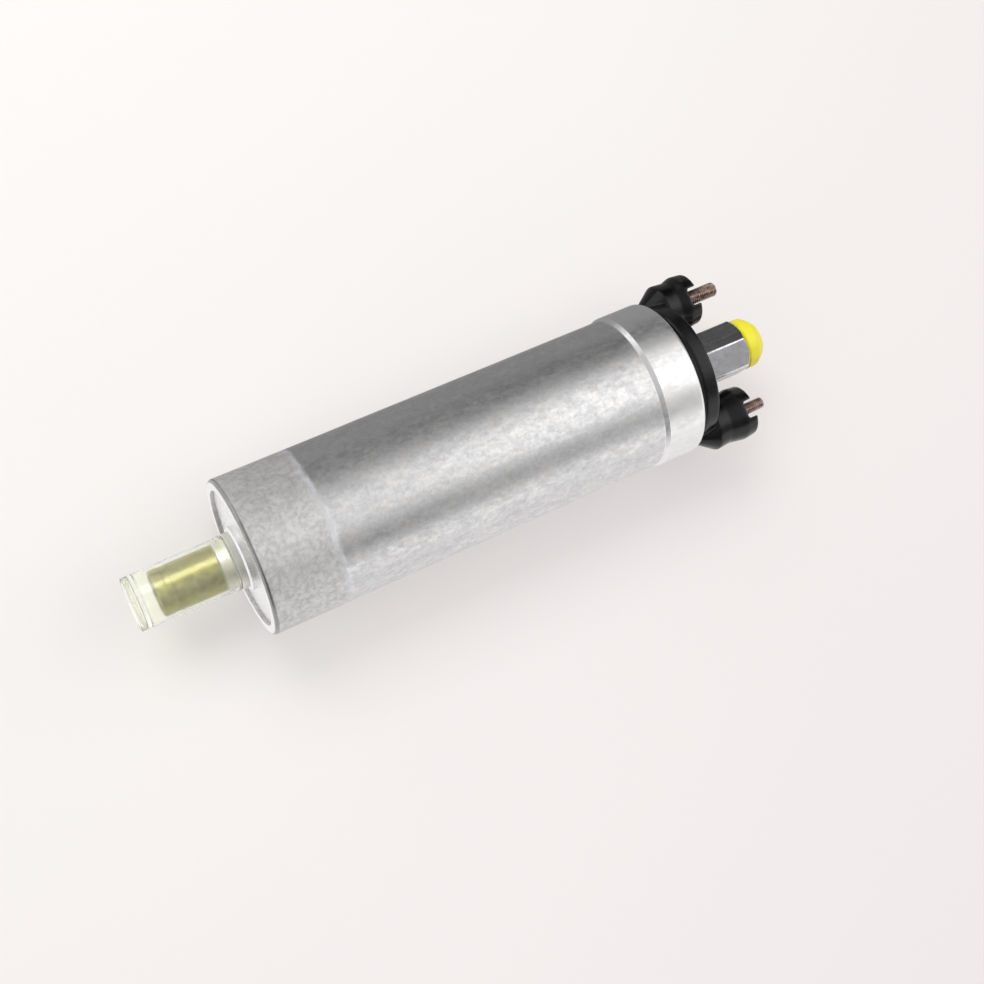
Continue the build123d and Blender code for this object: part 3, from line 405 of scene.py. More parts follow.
# The masks: the dull band and the line that ends it, the rim at the outlet, the rounding and
# the flat face at the inlet. The rounding gets a painted dark reflection and the flat face a
# painted highlight
uneven_x = calc(tree, "ADD", x_here, times(tree, wander, 1.2))
in_band = ramp(tree, uneven_x, band_start + 0.6, band_start - 0.6)
line_front = ramp(tree, uneven_x, band_start - 2.7, band_start - 0.8)
line_back = ramp(tree, uneven_x, band_start + 1.3, band_start - 0.2)
band_line = times(tree, line_front, line_back)
at_outlet = ramp(tree, x_here, rim - 1.5, rim - 0.6)
rounding_front = ramp(tree, x_here, -rim + 0.02, -rim + 0.3)
rounding_back = ramp(tree, x_here, -rim + 1.6, -rim + 1.1)
painted_dark_rim = times(tree, rounding_front, rounding_back)
outside = ramp(tree, away, shell_radius - 1.6, shell_radius - 1.2)
painted_dark_rim = times(tree, painted_dark_rim, outside)
painted_pale_face = ramp(tree, x_here, -rim + 0.25, -rim + 0.02)
# The plated wall, brighter on the collar
drawn_tone = blend(tree, broad["Streaks"], (0.66, 0.66, 0.68, 1), (0.78, 0.78, 0.77, 1))
drawn_tone = tint(tree, drawn_tone, (0.50, 0.495, 0.50, 1), fine["Streaks"], 0.5)
drawn_tone = tint(tree, drawn_tone, (0.52, 0.515, 0.52, 1), specks, 0.4)
drawn_tone = tint(tree, drawn_tone, (0.86, 0.86, 0.86, 1), flecks, 0.25)
on_collar = ramp(tree, x_here, collar_start - 2.0, collar_start + 0.5)
drawn_tone = tint(tree, drawn_tone, (0.90, 0.90, 0.90, 1), on_collar, 0.6)
# The dull band and its raised end line, painted pale as a highlight, and then what is brighter
# or darker over both
dull_tone = blend(tree, specks, (0.58, 0.58, 0.575, 1), (0.74, 0.74, 0.73, 1))
dull_tone = tint(tree, dull_tone, (0.82, 0.815, 0.81, 1), flecks, 0.25)
tone = blend(tree, in_band, drawn_tone, dull_tone)
# A painted highlight along the band's raised end line
painted_line_highlight = blend(tree, clouds, (0.62, 0.62, 0.63, 1), (0.86, 0.86, 0.92, 1))
tone = tint(tree, tone, painted_line_highlight, band_line, 0.8)
tone = blend(tree, at_outlet, tone, (0.90, 0.90, 0.91, 1))
tone = tint(tree, tone, (0.80, 0.80, 0.80, 1), wear, 0.5)
# A painted dark reflection along the rounding of the inlet rim
tone = tint(tree, tone, (0.09, 0.085, 0.095, 1), painted_dark_rim, 0.6)
# The flat face at the inlet is painted near white: a painted highlight
tone = blend(tree, painted_pale_face, tone, (0.93, 0.93, 0.93, 1))
# A painted highlight: a pale line on the chamfer of the collar's step
step_front = ramp(tree, x_here, collar_start - 1.9, collar_start - 1.4)
step_back = ramp(tree, x_here, collar_start + 0.4, collar_start)
tone = tint(tree, tone, (0.92, 0.92, 0.93, 1), times(tree, step_front, step_back), 0.7)
dull = calc(tree, "SUBTRACT", in_band, times(tree, painted_dark_rim, 0.7))
tree.links.new(ramp(tree, dull, 0.0, 1.0, 1.0, 0.88), shader.inputs["Metallic"])
drawn_rough = ramp(tree, fine["Height"], 0.3, 0.7, 0.30, 0.46)
dull_rough = ramp(tree, clouds, 0.0, 1.0, 0.48, 0.62)
rough = between(tree, in_band, drawn_rough, dull_rough)
rough = between(tree, painted_dark_rim, rough, 0.3)
rough = between(tree, painted_pale_face, rough, 0.3)
feed(tree, shader, tone, calc(tree, "ADD", rough, times(tree, marks, 0.1)))
bump(tree, shader, fine["Height"], 0.4, 0.04)
bump(tree, shader, broad["Height"], 0.3, 0.08)
bump(tree, shader, times(tree, clouds, in_band), 0.35, 0.08)
bump(tree, shader, band_line, 0.3, 0.06)
bump(tree, shader, marks, 0.15, 0.02)
rows = [shell_row(point) for point in shell_rows]
turned("drawn_housing", rows, plated_steel, "pump_body", "housing_steel", "housing_tube", 192)


# Inlet cover
# An aluminium casting with six ribs, turned where it seats and grooved for its O-ring.
# The rolled lip of the housing clamps its edge.
turned_marks, given, result = effect("turned_marks", {"Pitch": 0.2, "Seed": 0.0}, ["Uneven"])
where = place_on(turned_marks)
parts = xyz(turned_marks, where)
travel = calc(turned_marks, "ADD", off_axis(turned_marks, parts), parts[0])
phase = calc(turned_marks, "DIVIDE", times(turned_marks, travel, 2 * pi / mm), given["Pitch"])
phase = calc(turned_marks, "ADD", phase, given["Seed"])
rings = ramp(turned_marks, calc(turned_marks, "SINE", phase), -1.0, 1.0)
chatter = noise(turned_marks, where, given["Seed"], 260.0, 3.0)
turned_marks.links.new(times(turned_marks, rings, chatter), result["Uneven"])


def metal(name, dark, light, rough, pitch, patch, seed):
    """A machined metal: turning marks, a little mottle and rubbed edges. rough is its lowest
    and highest roughness, pitch and patch are the sizes of marks and mottle in millimetres."""
    material, tree, shader = finish(name, Metallic=1.0)
    cuts = use(tree, turned_marks, pitch=pitch, seed=seed)["Uneven"]
    clouds = use(tree, mottle, size=patch, contrast=0.5, seed=seed)["Patches"]
    wear = use(tree, edge_wear, amount=0.8, size=1.5, seed=seed)["Wear"]
    marks = use(tree, scratches, spacing=1.5, amount=0.5, seed=seed)["Marks"]
    tone = blend(tree, clouds, (*dark, 1), (*light, 1))
    rubbed = [min(1.0, channel * 1.35) for channel in light]
    tone = blend(tree, wear, tone, (*rubbed, 1))
    feed(tree, shader, tone, ramp(tree, calc(tree, "ADD", clouds, cuts), 0.0, 1.6, *rough))
    bump(tree, shader, cuts, 0.3, 0.03)
    bump(tree, shader, marks, 0.15, 0.03)
    return material


cast_metal, tree, shader = finish("cast_metal", Metallic=1.0)
clouds = use(tree, mottle, size=4.0, contrast=0.5, seed=11.0)["Patches"]
sand = use(tree, mottle, size=0.5, contrast=0.8, seed=12.0)["Patches"]
cuts = use(tree, turned_marks, pitch=0.3, seed=2.0)["Uneven"]
wear = use(tree, edge_wear, amount=0.8, size=2.0, seed=13.0)["Wear"]
tone = blend(tree, clouds, (0.90, 0.90, 0.905, 1), (0.95, 0.95, 0.95, 1))
tone = blend(tree, wear, tone, (0.95, 0.95, 0.95, 1))
feed(tree, shader, tone, ramp(tree, sand, 0.0, 1.0, 0.26, 0.40))
bump(tree, shader, sand, 0.35, 0.06)
bump(tree, shader, cuts, 0.2, 0.03)
dress(cast_metal, "inlet_cover")


# O-rings
# Two moulded nitrile rings under a patchy skin of fuel-proof grease.
# One seals the inlet cover in the bore and the other the end cap.
nitrile, tree, shader = finish("nitrile", Metallic=0.0)
grease = use(tree, mottle, size=1.2, contrast=0.7, seed=21.0)["Patches"]
tone = blend(tree, grease, (0.012, 0.012, 0.013, 1), (0.035, 0.035, 0.036, 1))
feed(tree, shader, tone, ramp(tree, grease, 0.0, 1.0, 0.45, 0.62))
bump(tree, shader, grease, 0.2, 0.03)


def seal_ring(name, node):
    """A round ring in the space that its node takes, squeezed a little by its groove."""
    low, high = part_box(node)
    deep = 0.9
    sides = 20
    outer = high.y / mm
    wide = (high.x - low.x) / mm / 2
    middle_x = (low.x + high.x) / 2 / mm
    rows = []
    for step in range(sides):
        angle = 2 * pi * step / sides
        rows.append((middle_x + wide * cos(angle), outer - deep + deep * sin(angle)))
    turned(name, rows, nitrile, "pump_body", "seal_rubber", node, 120)


seal_ring("inlet_seal_ring", "inlet_oring")
seal_ring("end_cap_seal_ring", "end_cap_oring")


# Hose stub
# A steel stub turned from bar, yellow passivated, and pressed and staked into the inlet cover.
# A hose of 15 mm bore slides over it and butts against its root.
stub_low, stub_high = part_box("inlet_spigot")
stub_tip = stub_low.x / mm
stub_in = stub_high.x / mm
flange_radius = stub_high.y / mm
flange_back = -78.3
flange_front = flange_back - 2.2
root_front = flange_front - 4.1
stub_radius = 7.5
root_radius = stub_radius + 0.7
groove_radius = stub_radius - 0.18
tail_radius = 7.0
stub_bore = 6.0
profile = [
    (stub_tip, stub_bore + 0.25),
    (stub_tip, stub_radius, 0.7),
    (stub_tip + 3.2, stub_radius, 0.2),
    (stub_tip + 3.5, groove_radius, 0.2),
    (stub_tip + 5.2, groove_radius, 0.2),
    (stub_tip + 5.5, stub_radius, 0.2),
    (root_front - 0.4, stub_radius, 0.4),
    (root_front, root_radius, 0.25),
    (flange_front, root_radius, 0.15),
    (flange_front, flange_radius, 0.25),
    (flange_back, flange_radius, 0.2),
    (flange_back, tail_radius),
    (stub_in, tail_radius, 0.2),
    (stub_in, stub_bore, 0.2),
    (stub_tip + 0.25, stub_bore),
]
passivated, tree, shader = finish("passivated", Metallic=1.0)
cuts = use(tree, turned_marks, pitch=0.22, seed=5.0)["Uneven"]
clouds = use(tree, mottle, size=2.2, contrast=0.7, seed=31.0)["Patches"]
wear = use(tree, edge_wear, amount=0.9, size=1.5, seed=32.0)["Wear"]
tone = blend(tree, clouds, (0.25, 0.23, 0.012, 1), (0.44, 0.40, 0.045, 1))
tone = tint(tree, tone, (0.24, 0.20, 0.07, 1), cuts, 0.3)
tone = blend(tree, wear, tone, (0.62, 0.60, 0.42, 1))
x_here = times(tree, xyz(tree, place_on(tree))[0], 1 / mm)
bare = ramp(tree, x_here, root_front - 0.9, root_front + 0.2)
tone = tint(tree, tone, (0.90, 0.90, 0.86, 1), bare, 0.9)
feed(tree, shader, tone, ramp(tree, clouds, 0.0, 1.0, 0.36, 0.52))
bump(tree, shader, cuts, 0.4, 0.04)
rows = rounded(profile)
turned("turned_stub", rows, passivated, "pump_body", "passivated_steel", "inlet_spigot", 128)


# Strainer
# A natural nylon cage with a fine woven floor, clipped over the inner end of the stub. It
# keeps grit out of the pump stage.
weave_pitch = 0.42 * mm
woven_nylon, tree, shader = finish("woven_nylon", Metallic=0.0)
parts = xyz(tree, place_on(tree))
threads = []
for part in parts[1:]:
    wave = calc(tree, "SINE", times(tree, part, 2 * pi / weave_pitch))
    threads.append(ramp(tree, wave, -1.0, 1.0))
weave = calc(tree, "MAXIMUM", *threads)
stain = use(tree, mottle, size=3.0, contrast=0.6, seed=41.0)["Patches"]
tone = blend(tree, stain, (0.70, 0.70, 0.66, 1), (0.80, 0.80, 0.77, 1))
tone = blend(tree, weave, (0.45, 0.45, 0.42, 1), tone)
feed(tree, shader, tone, ramp(tree, stain, 0.0, 1.0, 0.40, 0.55))
bump(tree, shader, weave, 0.5, 0.08)
dress(woven_nylon, "inlet_strainer")


# Pump stage
# Two ground aluminium plates close a ring of sintered steel, in which a six-lobe rotor turns
# inside a seven-lobe one. Three socket screws clamp the stack, and a sprung ball behind a yellow
# passivated plug relieves it.
sintered, tree, shader = finish("sintered", Metallic=1.0)
pores = use(tree, mottle, size=0.35, contrast=0.9, seed=51.0)["Patches"]
clouds = use(tree, mottle, size=5.0, contrast=0.5, seed=52.0)["Patches"]
marks = use(tree, scratches, spacing=0.8, amount=0.8, seed=53.0)["Marks"]
wear = use(tree, edge_wear, amount=0.7, size=1.5, seed=54.0)["Wear"]
tone = blend(tree, clouds, (0.33, 0.33, 0.34, 1), (0.44, 0.44, 0.45, 1))
tone = tint(tree, tone, (0.20, 0.20, 0.21, 1), pores, 0.35)
tone = blend(tree, wear, tone, (0.62, 0.62, 0.62, 1))
feed(tree, shader, tone, ramp(tree, pores, 0.0, 1.0, 0.28, 0.46))
bump(tree, shader, pores, 0.25, 0.03)
bump(tree, shader, marks, 0.2, 0.02)
machined = metal(
    "machined", (0.46, 0.46, 0.47), (0.58, 0.58, 0.58), (0.24, 0.42), 0.25, 2.5, 6.0
)
dress(cast_metal, "pump_inlet_plate", "pump_outlet_plate")
dress(sintered, "pump_ring", "gerotor_inner", "gerotor_outer")
dress(machined, "pump_screws", "relief_ball")
dress(passivated, "relief_plug")


# Springs
# Cold-wound from round spring wire, with closed end coils. One loads the relief ball, two push
# the brushes and one closes the outlet valve.
spring_wire = metal(
    "spring_wire", (0.40, 0.40, 0.42), (0.52, 0.52, 0.54), (0.26, 0.40), 0.4, 1.0, 8.0
)


def give_way(piece, joint, fixed_end, free_end):
    """Gives a spring or a lead a mesh of its own. joint, fixed_end and free_end are not used."""
    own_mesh(piece)


def wound(name, node, joint, wire, turns, fixed="high"):
    """A helix of round wire that fills its node's space. wire is its radius in metres, fixed is
    the end that stays put. At each end 0.9 of a turn lies nearly flat, with 6% of the climb in
    all, and a quarter of the other climb is eased."""
    low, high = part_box(node)
    radius = (high.y - low.y) / 2 - wire
    centre = (low + high) / 2
    path = bpy.data.curves.new(name + "_path", "CURVE")
    path.dimensions = "3D"
    path.bevel_depth = wire
    path.bevel_resolution = 3
    path.use_fill_caps = True
    steps_per_turn = 20
    count = turns * steps_per_turn
    line = path.splines.new("POLY")
    line.points.add(count)
    start, end = low.x + wire, high.x - wire
    flat, creep, ease = 0.9, 0.06, 0.25
    for step in range(count + 1):
        part = step / count
        climb = min(1.0, max(0.0, (part * turns - flat) / (turns - 2 * flat)))
        climb = climb * climb * (3 - 2 * climb) * ease + climb * (1 - ease)
        angle = 2 * pi * turns * part
        x = start + (end - start) * (creep * part + (1 - creep) * climb)
        y = centre.y + radius * cos(angle)
        z = centre.z + radius * sin(angle)
        line.points[step].co = (x, y, z, 1.0)
    line.use_smooth = True
    mesh = bpy.data.meshes.new_from_object(bpy.data.objects.new(name + "_path", path))
    mesh.shade_smooth()
    made = fit(name, mesh, spring_wire, "pump_body", node)
    ends = (high.x, low.x) if fixed == "high" else (low.x, high.x)
    give_way(made, joint, *ends)


wound("relief_spring_coil", "relief_spring", "relief_valve_lift", 0.25 * mm, 6, fixed="low")
wound("brush_spring_coil_pos", "brush_spring_pos", "brush_pos_slide", 0.3 * mm, 7)
wound("brush_spring_coil_neg", "brush_spring_neg", "brush_neg_slide", 0.3 * mm, 7)
wound("outlet_spring_coil", "check_valve_spring", "check_valve_lift", 0.3 * mm, 7)


# Motor
# Two ferrite magnets held by clips in a rolled steel flux ring, round an armature of stacked
# sheets with eight wound slots. It runs in sintered bronze bearings, and carbon brushes on
# braided leads press on its copper commutator.
bronze = metal("bronze", (0.50, 0.33, 0.14), (0.64, 0.44, 0.21), (0.34, 0.52), 0.35, 1.0, 9.0)
dress(bronze, "front_bearing", "rear_bearing")
dress(machined, "flux_ring", "armature_shaft", "thrust_washers")
dress(spring_wire, "magnet_clips", "bearing_retainer")

ferrite, tree, shader = finish("ferrite", Metallic=0.0)
pores = use(tree, mottle, size=0.8, contrast=0.8, seed=61.0)["Patches"]
wear = use(tree, edge_wear, amount=0.8, size=2.5, seed=62.0)["Wear"]
marks = use(tree, scratches, spacing=1.6, amount=0.7, seed=63.0)["Marks"]
tone = blend(tree, pores, (0.035, 0.035, 0.038, 1), (0.070, 0.070, 0.072, 1))
tone = tint(tree, tone, (0.12, 0.12, 0.12, 1), marks, 0.4)
tone = blend(tree, wear, tone, (0.16, 0.16, 0.16, 1))
feed(tree, shader, tone, ramp(tree, pores, 0.0, 1.0, 0.42, 0.62))
bump(tree, shader, pores, 0.25, 0.04)
dress(ferrite, "magnet_north", "magnet_south")

sheet_thickness = 0.5 * mm
stacked_sheet, tree, shader = finish("stacked_sheet", Metallic=1.0)
x_here = xyz(tree, place_on(tree))[0]
wave = calc(tree, "SINE", times(tree, x_here, 2 * pi / sheet_thickness))
layers = ramp(tree, wave, -1.0, -0.6)
clouds = use(tree, mottle, size=3.0, contrast=0.6, seed=71.0)["Patches"]
tone = blend(tree, clouds, (0.30, 0.30, 0.33, 1), (0.42, 0.42, 0.44, 1))
tone = blend(tree, layers, (0.10, 0.10, 0.12, 1), tone)
feed(tree, shader, tone, ramp(tree, clouds, 0.0, 1.0, 0.36, 0.52))
bump(tree, shader, layers, 0.6, 0.06)
dress(stacked_sheet, "armature_core")

pressed_fibre, tree, shader = finish("pressed_fibre", Metallic=0.0)
fibres = use(tree, mottle, size=0.6, contrast=0.9, seed=72.0)["Patches"]
tone = blend(tree, fibres, (0.26, 0.06, 0.03, 1), (0.42, 0.12, 0.06, 1))
feed(tree, shader, tone, ramp(tree, fibres, 0.0, 1.0, 0.50, 0.68))
bump(tree, shader, fibres, 0.3, 0.04)
dress(pressed_fibre, "armature_insulators")

enamelled, tree, shader = finish("enamelled", Metallic=1.0, Coat_Weight=0.6)
strands = use(tree, drawn_streaks, spacing=0.9, length=9.0, seed=14.0)
clouds = use(tree, mottle, size=2.0, contrast=0.6, seed=73.0)["Patches"]
tone = blend(tree, clouds, (0.48, 0.16, 0.05, 1), (0.66, 0.28, 0.11, 1))
tone = tint(tree, tone, (0.25, 0.08, 0.03, 1), strands["Streaks"], 0.5)
feed(tree, shader, tone, ramp(tree, clouds, 0.0, 1.0, 0.24, 0.38))
bump(tree, shader, strands["Height"], 0.7, 0.15)
dress(enamelled, "armature_windings")

bright_copper = metal(
    "bright_copper", (0.68, 0.33, 0.20), (0.84, 0.46, 0.30), (0.22, 0.38), 0.3, 2.0, 10.0
)
dress(bright_copper, "commutator_segments", "terminal_strap_pos", "terminal_strap_neg")
for side in ("pos", "neg"):
    node = "brush_lead_" + side
    low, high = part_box(node)
    braid = cad[node].data.copy()
    braid.materials.clear()
    lead = fit("braided_lead_" + side, braid, bright_copper, "pump_body", node)
    give_way(lead, "brush_" + side + "_slide", high.x, low.x)

carbon, tree, shader = finish("carbon", Metallic=0.0)
dust = use(tree, mottle, size=0.4, contrast=0.9, seed=74.0)["Patches"]
wear = use(tree, edge_wear, amount=0.7, size=1.0, seed=75.0)["Wear"]
tone = blend(tree, dust, (0.03, 0.03, 0.032, 1), (0.07, 0.07, 0.072, 1))
tone = blend(tree, wear, tone, (0.14, 0.14, 0.145, 1))
feed(tree, shader, tone, ramp(tree, dust, 0.0, 1.0, 0.36, 0.56))
bump(tree, shader, dust, 0.2, 0.03)
dress(carbon, "brush_pos", "brush_neg")


# End cap
# One black moulding of glass-filled nylon: the disc that closes the housing, the outlet's seat,
# and two hollow towers with crowned, slotted rims round the terminals. The brush carrier, the
# commutator's hub and the outlet valve's poppet are of the same nylon.
moulded_black, tree, shader = finish("moulded_black", Metallic=0.0, Specular_IOR_Level=0.3)
skin_grain = use(tree, mottle, size=0.35, contrast=0.6, seed=81.0)["Patches"]
flow = use(tree, mottle, size=6.0, contrast=0.6, seed=82.0)["Patches"]
wear = use(tree, edge_wear, amount=0.6, size=1.2, seed=83.0)["Wear"]
marks = use(tree, scratches, spacing=2.0, amount=0.6, seed=84.0)["Marks"]
tone = blend(tree, flow, (0.002, 0.002, 0.0025, 1), (0.005, 0.005, 0.006, 1))
tone = tint(tree, tone, (0.03, 0.03, 0.03, 1), marks, 0.3)
tone = blend(tree, wear, tone, (0.032, 0.034, 0.033, 1))
feed(tree, shader, tone, ramp(tree, flow, 0.0, 1.0, 0.16, 0.28))
bump(tree, shader, skin_grain, 0.14, 0.04)
bump(tree, shader, marks, 0.1, 0.02)
dress(moulded_black, "end_cap", "commutator_hub", "brush_carrier", "check_valve_poppet")
moulding = cad["end_cap"]
softened = moulding.modifiers.new("melted_edges", "REMESH")
softened.mode = "VOXEL"
softened.voxel_size = 0.42 * mm
softened.use_smooth_shade = True
eased = moulding.modifiers.new("eased", "SMOOTH")
eased.factor = 0.5
eased.iterations = 3


# Terminal studs
# Coppered steel studs moulded into the towers, M5 on one side and M4 on the other, so that the
# leads can't be swapped.
def helix_row(x, major, pitch, depth, end=None, blank=None):
    """A row of a threaded form: its radius falls and rises with the turn. end is where a
    chamfer brings the thread down, blank is where it runs out to plain bar. The flat crest and
    the flank are shares of half a pitch, and the rest is the flat root."""
    crest, flank = 0.1, 0.78

    def at(angle):
        part = (x / pitch - angle / (2 * pi)) % 1.0
        tooth = min(1.0, max(0.0, (abs(2 * part - 1) - crest) / flank))
        radius = major - depth * tooth
        if blank is not None and x < blank + pitch:
            radius += (major - radius) * max(0.0, 1 - max(0.0, x - blank) / pitch)
        if end is not None:
            radius = min(radius, major - depth + max(0.0, end - x) * 1.2)
        return x, max(radius, 0.2)
    return at


coppered, tree, shader = finish("coppered", Metallic=1.0)
clouds = use(tree, mottle, size=1.2, contrast=0.8, seed=91.0)["Patches"]
wear = use(tree, edge_wear, amount=1.0, size=0.8, seed=92.0)["Wear"]
tone = blend(tree, clouds, (0.38, 0.28, 0.25, 1), (0.68, 0.55, 0.50, 1))
tone = blend(tree, wear, tone, (0.86, 0.72, 0.68, 1))
feed(tree, shader, tone, ramp(tree, clouds, 0.0, 1.0, 0.26, 0.44))
bump(tree, shader, clouds, 0.2, 0.03)

# Each stud's thread radius, pitch and thread depth. A pitch has ten rows.
studs = {"pos": (2.5, 0.8, 0.46), "neg": (2.0, 0.7, 0.4)}
shank = 2.9
for side, (major, pitch, depth) in studs.items():
    low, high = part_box("terminal_stud_" + side)
    middle = (low.y + high.y) / 2 / mm
    head = (high.y - low.y) / 2 / mm
    start = low.x / mm
    tip = high.x / mm
    head_end = start + 2.0
    thread_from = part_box("terminal_nut_" + side)[0].x / mm - 0.5
    head_rows = [(start, 0.0), (start, head, 0.3), (head_end, head, 0.3), (head_end, shank, 0.2)]
    shank_rows = [
        (start + 2.2, shank),
        (thread_from - 0.6, shank, 0.2),
        (thread_from - 0.4, major),
    ]
    rows = rounded(head_rows) + rounded(shank_rows)[:-1] + [(thread_from - 0.3, major)]
    count = int((tip - thread_from) / (pitch / 10))
    for step in range(count + 1):
        x = thread_from + (tip - thread_from) * step / count
        rows.append(helix_row(x, major, pitch, depth, tip - 0.05, thread_from))
    rows.append((tip, 0.0))
    name, node = "threaded_stud_" + side, "terminal_stud_" + side
    shape = {"closed": False, "centre": (middle, 0.0)}
    turned(name, rows, coppered, "pump_body", "coppered_steel", node, 48, **shape)


# Terminal nuts and washers
# Zinc-plated nuts, chamfered at both faces, hold the plain washers down on the tower floors.
# A ring lug of the car's harness goes under each nut.
def hexagon_row(x, flats, limit, flat_turn):
    """A row of a hexagon, cut back to a round of radius limit where a chamfer passes."""
    def at(angle):
        part = (angle - flat_turn) % (pi / 3) - pi / 6
        return x, min(flats / 2 / cos(part), limit)
    return at


def hexagon_body(x_low, x_high, flats, drop, flat_turn):
    """Rows of a hexagonal body whose corners are chamfered at both ends. A chamfer starts
    just inside the flats and ends just past the corners."""
    corner = flats / 2 / cos(pi / 6)
    face = flats / 2 * 0.97
    steps = 8
    front, back = [], []
    for step in range(steps + 1):
        part = step / steps
        limit = face + (corner - face) * part * 1.02
        front.append(hexagon_row(x_low + drop * part, flats, limit, flat_turn))
        back.append(hexagon_row(x_high - drop * part, flats, limit, flat_turn))
    return front + back[::-1]


zinc = metal("zinc", (0.22, 0.23, 0.22), (0.36, 0.37, 0.36), (0.26, 0.44), 0.5, 0.8, 12.0)
for side in studs:
    node = "terminal_nut_" + side
    low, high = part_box(node)
    middle = (low.y + high.y) / 2 / mm
    flats = (high.z - low.z) / mm
    hole = studs[side][0] + 0.03
    countersink = hole + 0.35
    x_low, x_high = low.x / mm, high.x / mm
    rows = [(x_low, countersink)] + hexagon_body(x_low, x_high, flats, 0.5, pi / 3)
    rows += [(x_high, countersink), (x_high - 0.4, hole), (x_low + 0.4, hole)]
    name = "chamfered_nut_" + side
    turned(name, rows, zinc, "pump_body", "plated_nut", node, 144, centre=(middle, 0.0))
    node = "terminal_washer_" + side
    low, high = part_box(node)
    radius = (high.z - low.z) / 2 / mm
    x_low, x_high = low.x / mm, high.x / mm
    rows = rounded(
        [
            (x_low, hole + 0.1, 0.1),
            (x_low, radius, 0.25),
            (x_high, radius, 0.15),
            (x_high, hole + 0.1, 0.1),
        ]
    )
    name = "plain_washer_" + side
    turned(name, rows, zinc, "pump_body", "plated_nut", node, centre=(middle, 0.0))


# Outlet fitting
# Turned from 17 mm hexagon steel bar, screwed into an insert in the end cap over a copper seal.
# Its port has an M12 x 1.5 thread below a plain recess, and the outlet valve sits inside.
low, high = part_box("outlet_fitting")
fitting_start = low.x / mm
fitting_end = high.x / mm
hexagon_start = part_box("outlet_seal")[1].x / mm
hexagon_turn = radians(21.5)
stem = 6.0
relieved = stem - 0.3
hole = 2.8
chamber = 4.3
port = 5.2
pitch = 1.5
depth = 0.72
recess = 6.9
port_end = fitting_end - 3.0
port_start = port_end - 9.8
seat = fitting_start + 8.0
stem_rows = [(fitting_start, hole, 0.3), (fitting_start, stem - 0.5), (fitting_start + 0.5, stem)]
rows = rounded(stem_rows)
rows += [(hexagon_start - 1.6, stem), (hexagon_start - 1.4, relieved), (hexagon_start, relieved)]
rows += hexagon_body(hexagon_start, fitting_end, 17.0, 1.5, hexagon_turn)
rows += rounded([(fitting_end, recess + 0.3), (fitting_end - 0.3, recess), (port_end, recess, 0.1)])
count = int((port_end - port_start) / (pitch / 10))
for step in range(count + 1):
    x = port_end - (port_end - port_start) * step / count
    rows.append(helix_row(x, port + depth, pitch, depth))
rows += [(port_start, chamber), (seat + 0.7, chamber), (seat, hole)]
bright_steel, tree, shader = finish("bright_steel", Metallic=1.0)
fine = use(tree, drawn_streaks, spacing=0.35, length=10.0, seed=17.0)
clouds = use(tree, mottle, size=3.0, contrast=0.6, seed=95.0)["Patches"]
wear = use(tree, edge_wear, amount=1.0, size=1.5, seed=96.0)["Wear"]
tone = blend(tree, clouds, (0.50, 0.50, 0.52, 1), (0.64, 0.63, 0.65, 1))
tone = tint(tree, tone, (0.36, 0.36, 0.39, 1), fine["Streaks"], 0.3)
tone = blend(tree, wear, tone, (0.85, 0.85, 0.85, 1))
feed(tree, shader, tone, ramp(tree, fine["Height"], 0.3, 0.7, 0.20, 0.30))
bump(tree, shader, fine["Height"], 0.2, 0.03)
turned("hexagon_fitting", rows, bright_steel, "pump_body", "machined_steel", "outlet_fitting", 180)
dress(machined, "outlet_insert", "check_valve_retainer")
dress(bright_copper, "outlet_seal")


# Outlet dust cap
# A yellow polyethylene plug with a domed head, pushed into the recess of the outlet port to
# keep dirt out until the pump is fitted.
low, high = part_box("outlet_cap")
plug_start = low.x / mm
plug_end = high.x / mm
plug_floor = plug_start + 1.2
head_radius = high.y / mm
plug = [
    (plug_floor, 5.4, 0.3),
    (plug_start, 5.5, 0.15),
    (plug_start, 6.3, 0.3),
    (fitting_end - 0.6, 6.7, 0.15),
    (fitting_end - 0.6, 6.5, 0.1),
]
dome = [
    (fitting_end + 0.02, 6.5, 0.1),
    (fitting_end + 0.02, head_radius - 0.5, 0.12),
    (fitting_end + 0.5, head_radius, 0.35),
    (fitting_end + 3.9, head_radius - 0.05, 1.5),
    (plug_end - 1.5, head_radius - 2.4, 3.0),
    (plug_end, 3.6, 1.4),
    (plug_end, 0.0),
]
rows = [(plug_floor, 0.0)] + rounded(plug) + rounded(dome, 8)
yellow, tree, shader = finish("yellow", Metallic=0.0)
clouds = use(tree, mottle, size=3.5, contrast=0.5, seed=97.0)["Patches"]
skin_grain = use(tree, mottle, size=0.4, contrast=0.6, seed=98.0)["Patches"]
wear = use(tree, edge_wear, amount=0.5, size=1.5, seed=99.0)["Wear"]
tone = blend(tree, clouds, (0.80, 0.73, 0.022, 1), (0.88, 0.80, 0.035, 1))
tone = blend(tree, wear, tone, (0.92, 0.88, 0.20, 1))
feed(tree, shader, tone, ramp(tree, clouds, 0.0, 1.0, 0.30, 0.42))
bump(tree, shader, skin_grain, 0.12, 0.04)
turned("yellow_plug", rows, yellow, "outlet_dust_cap", "yellow_cap", "outlet_cap", closed=False)


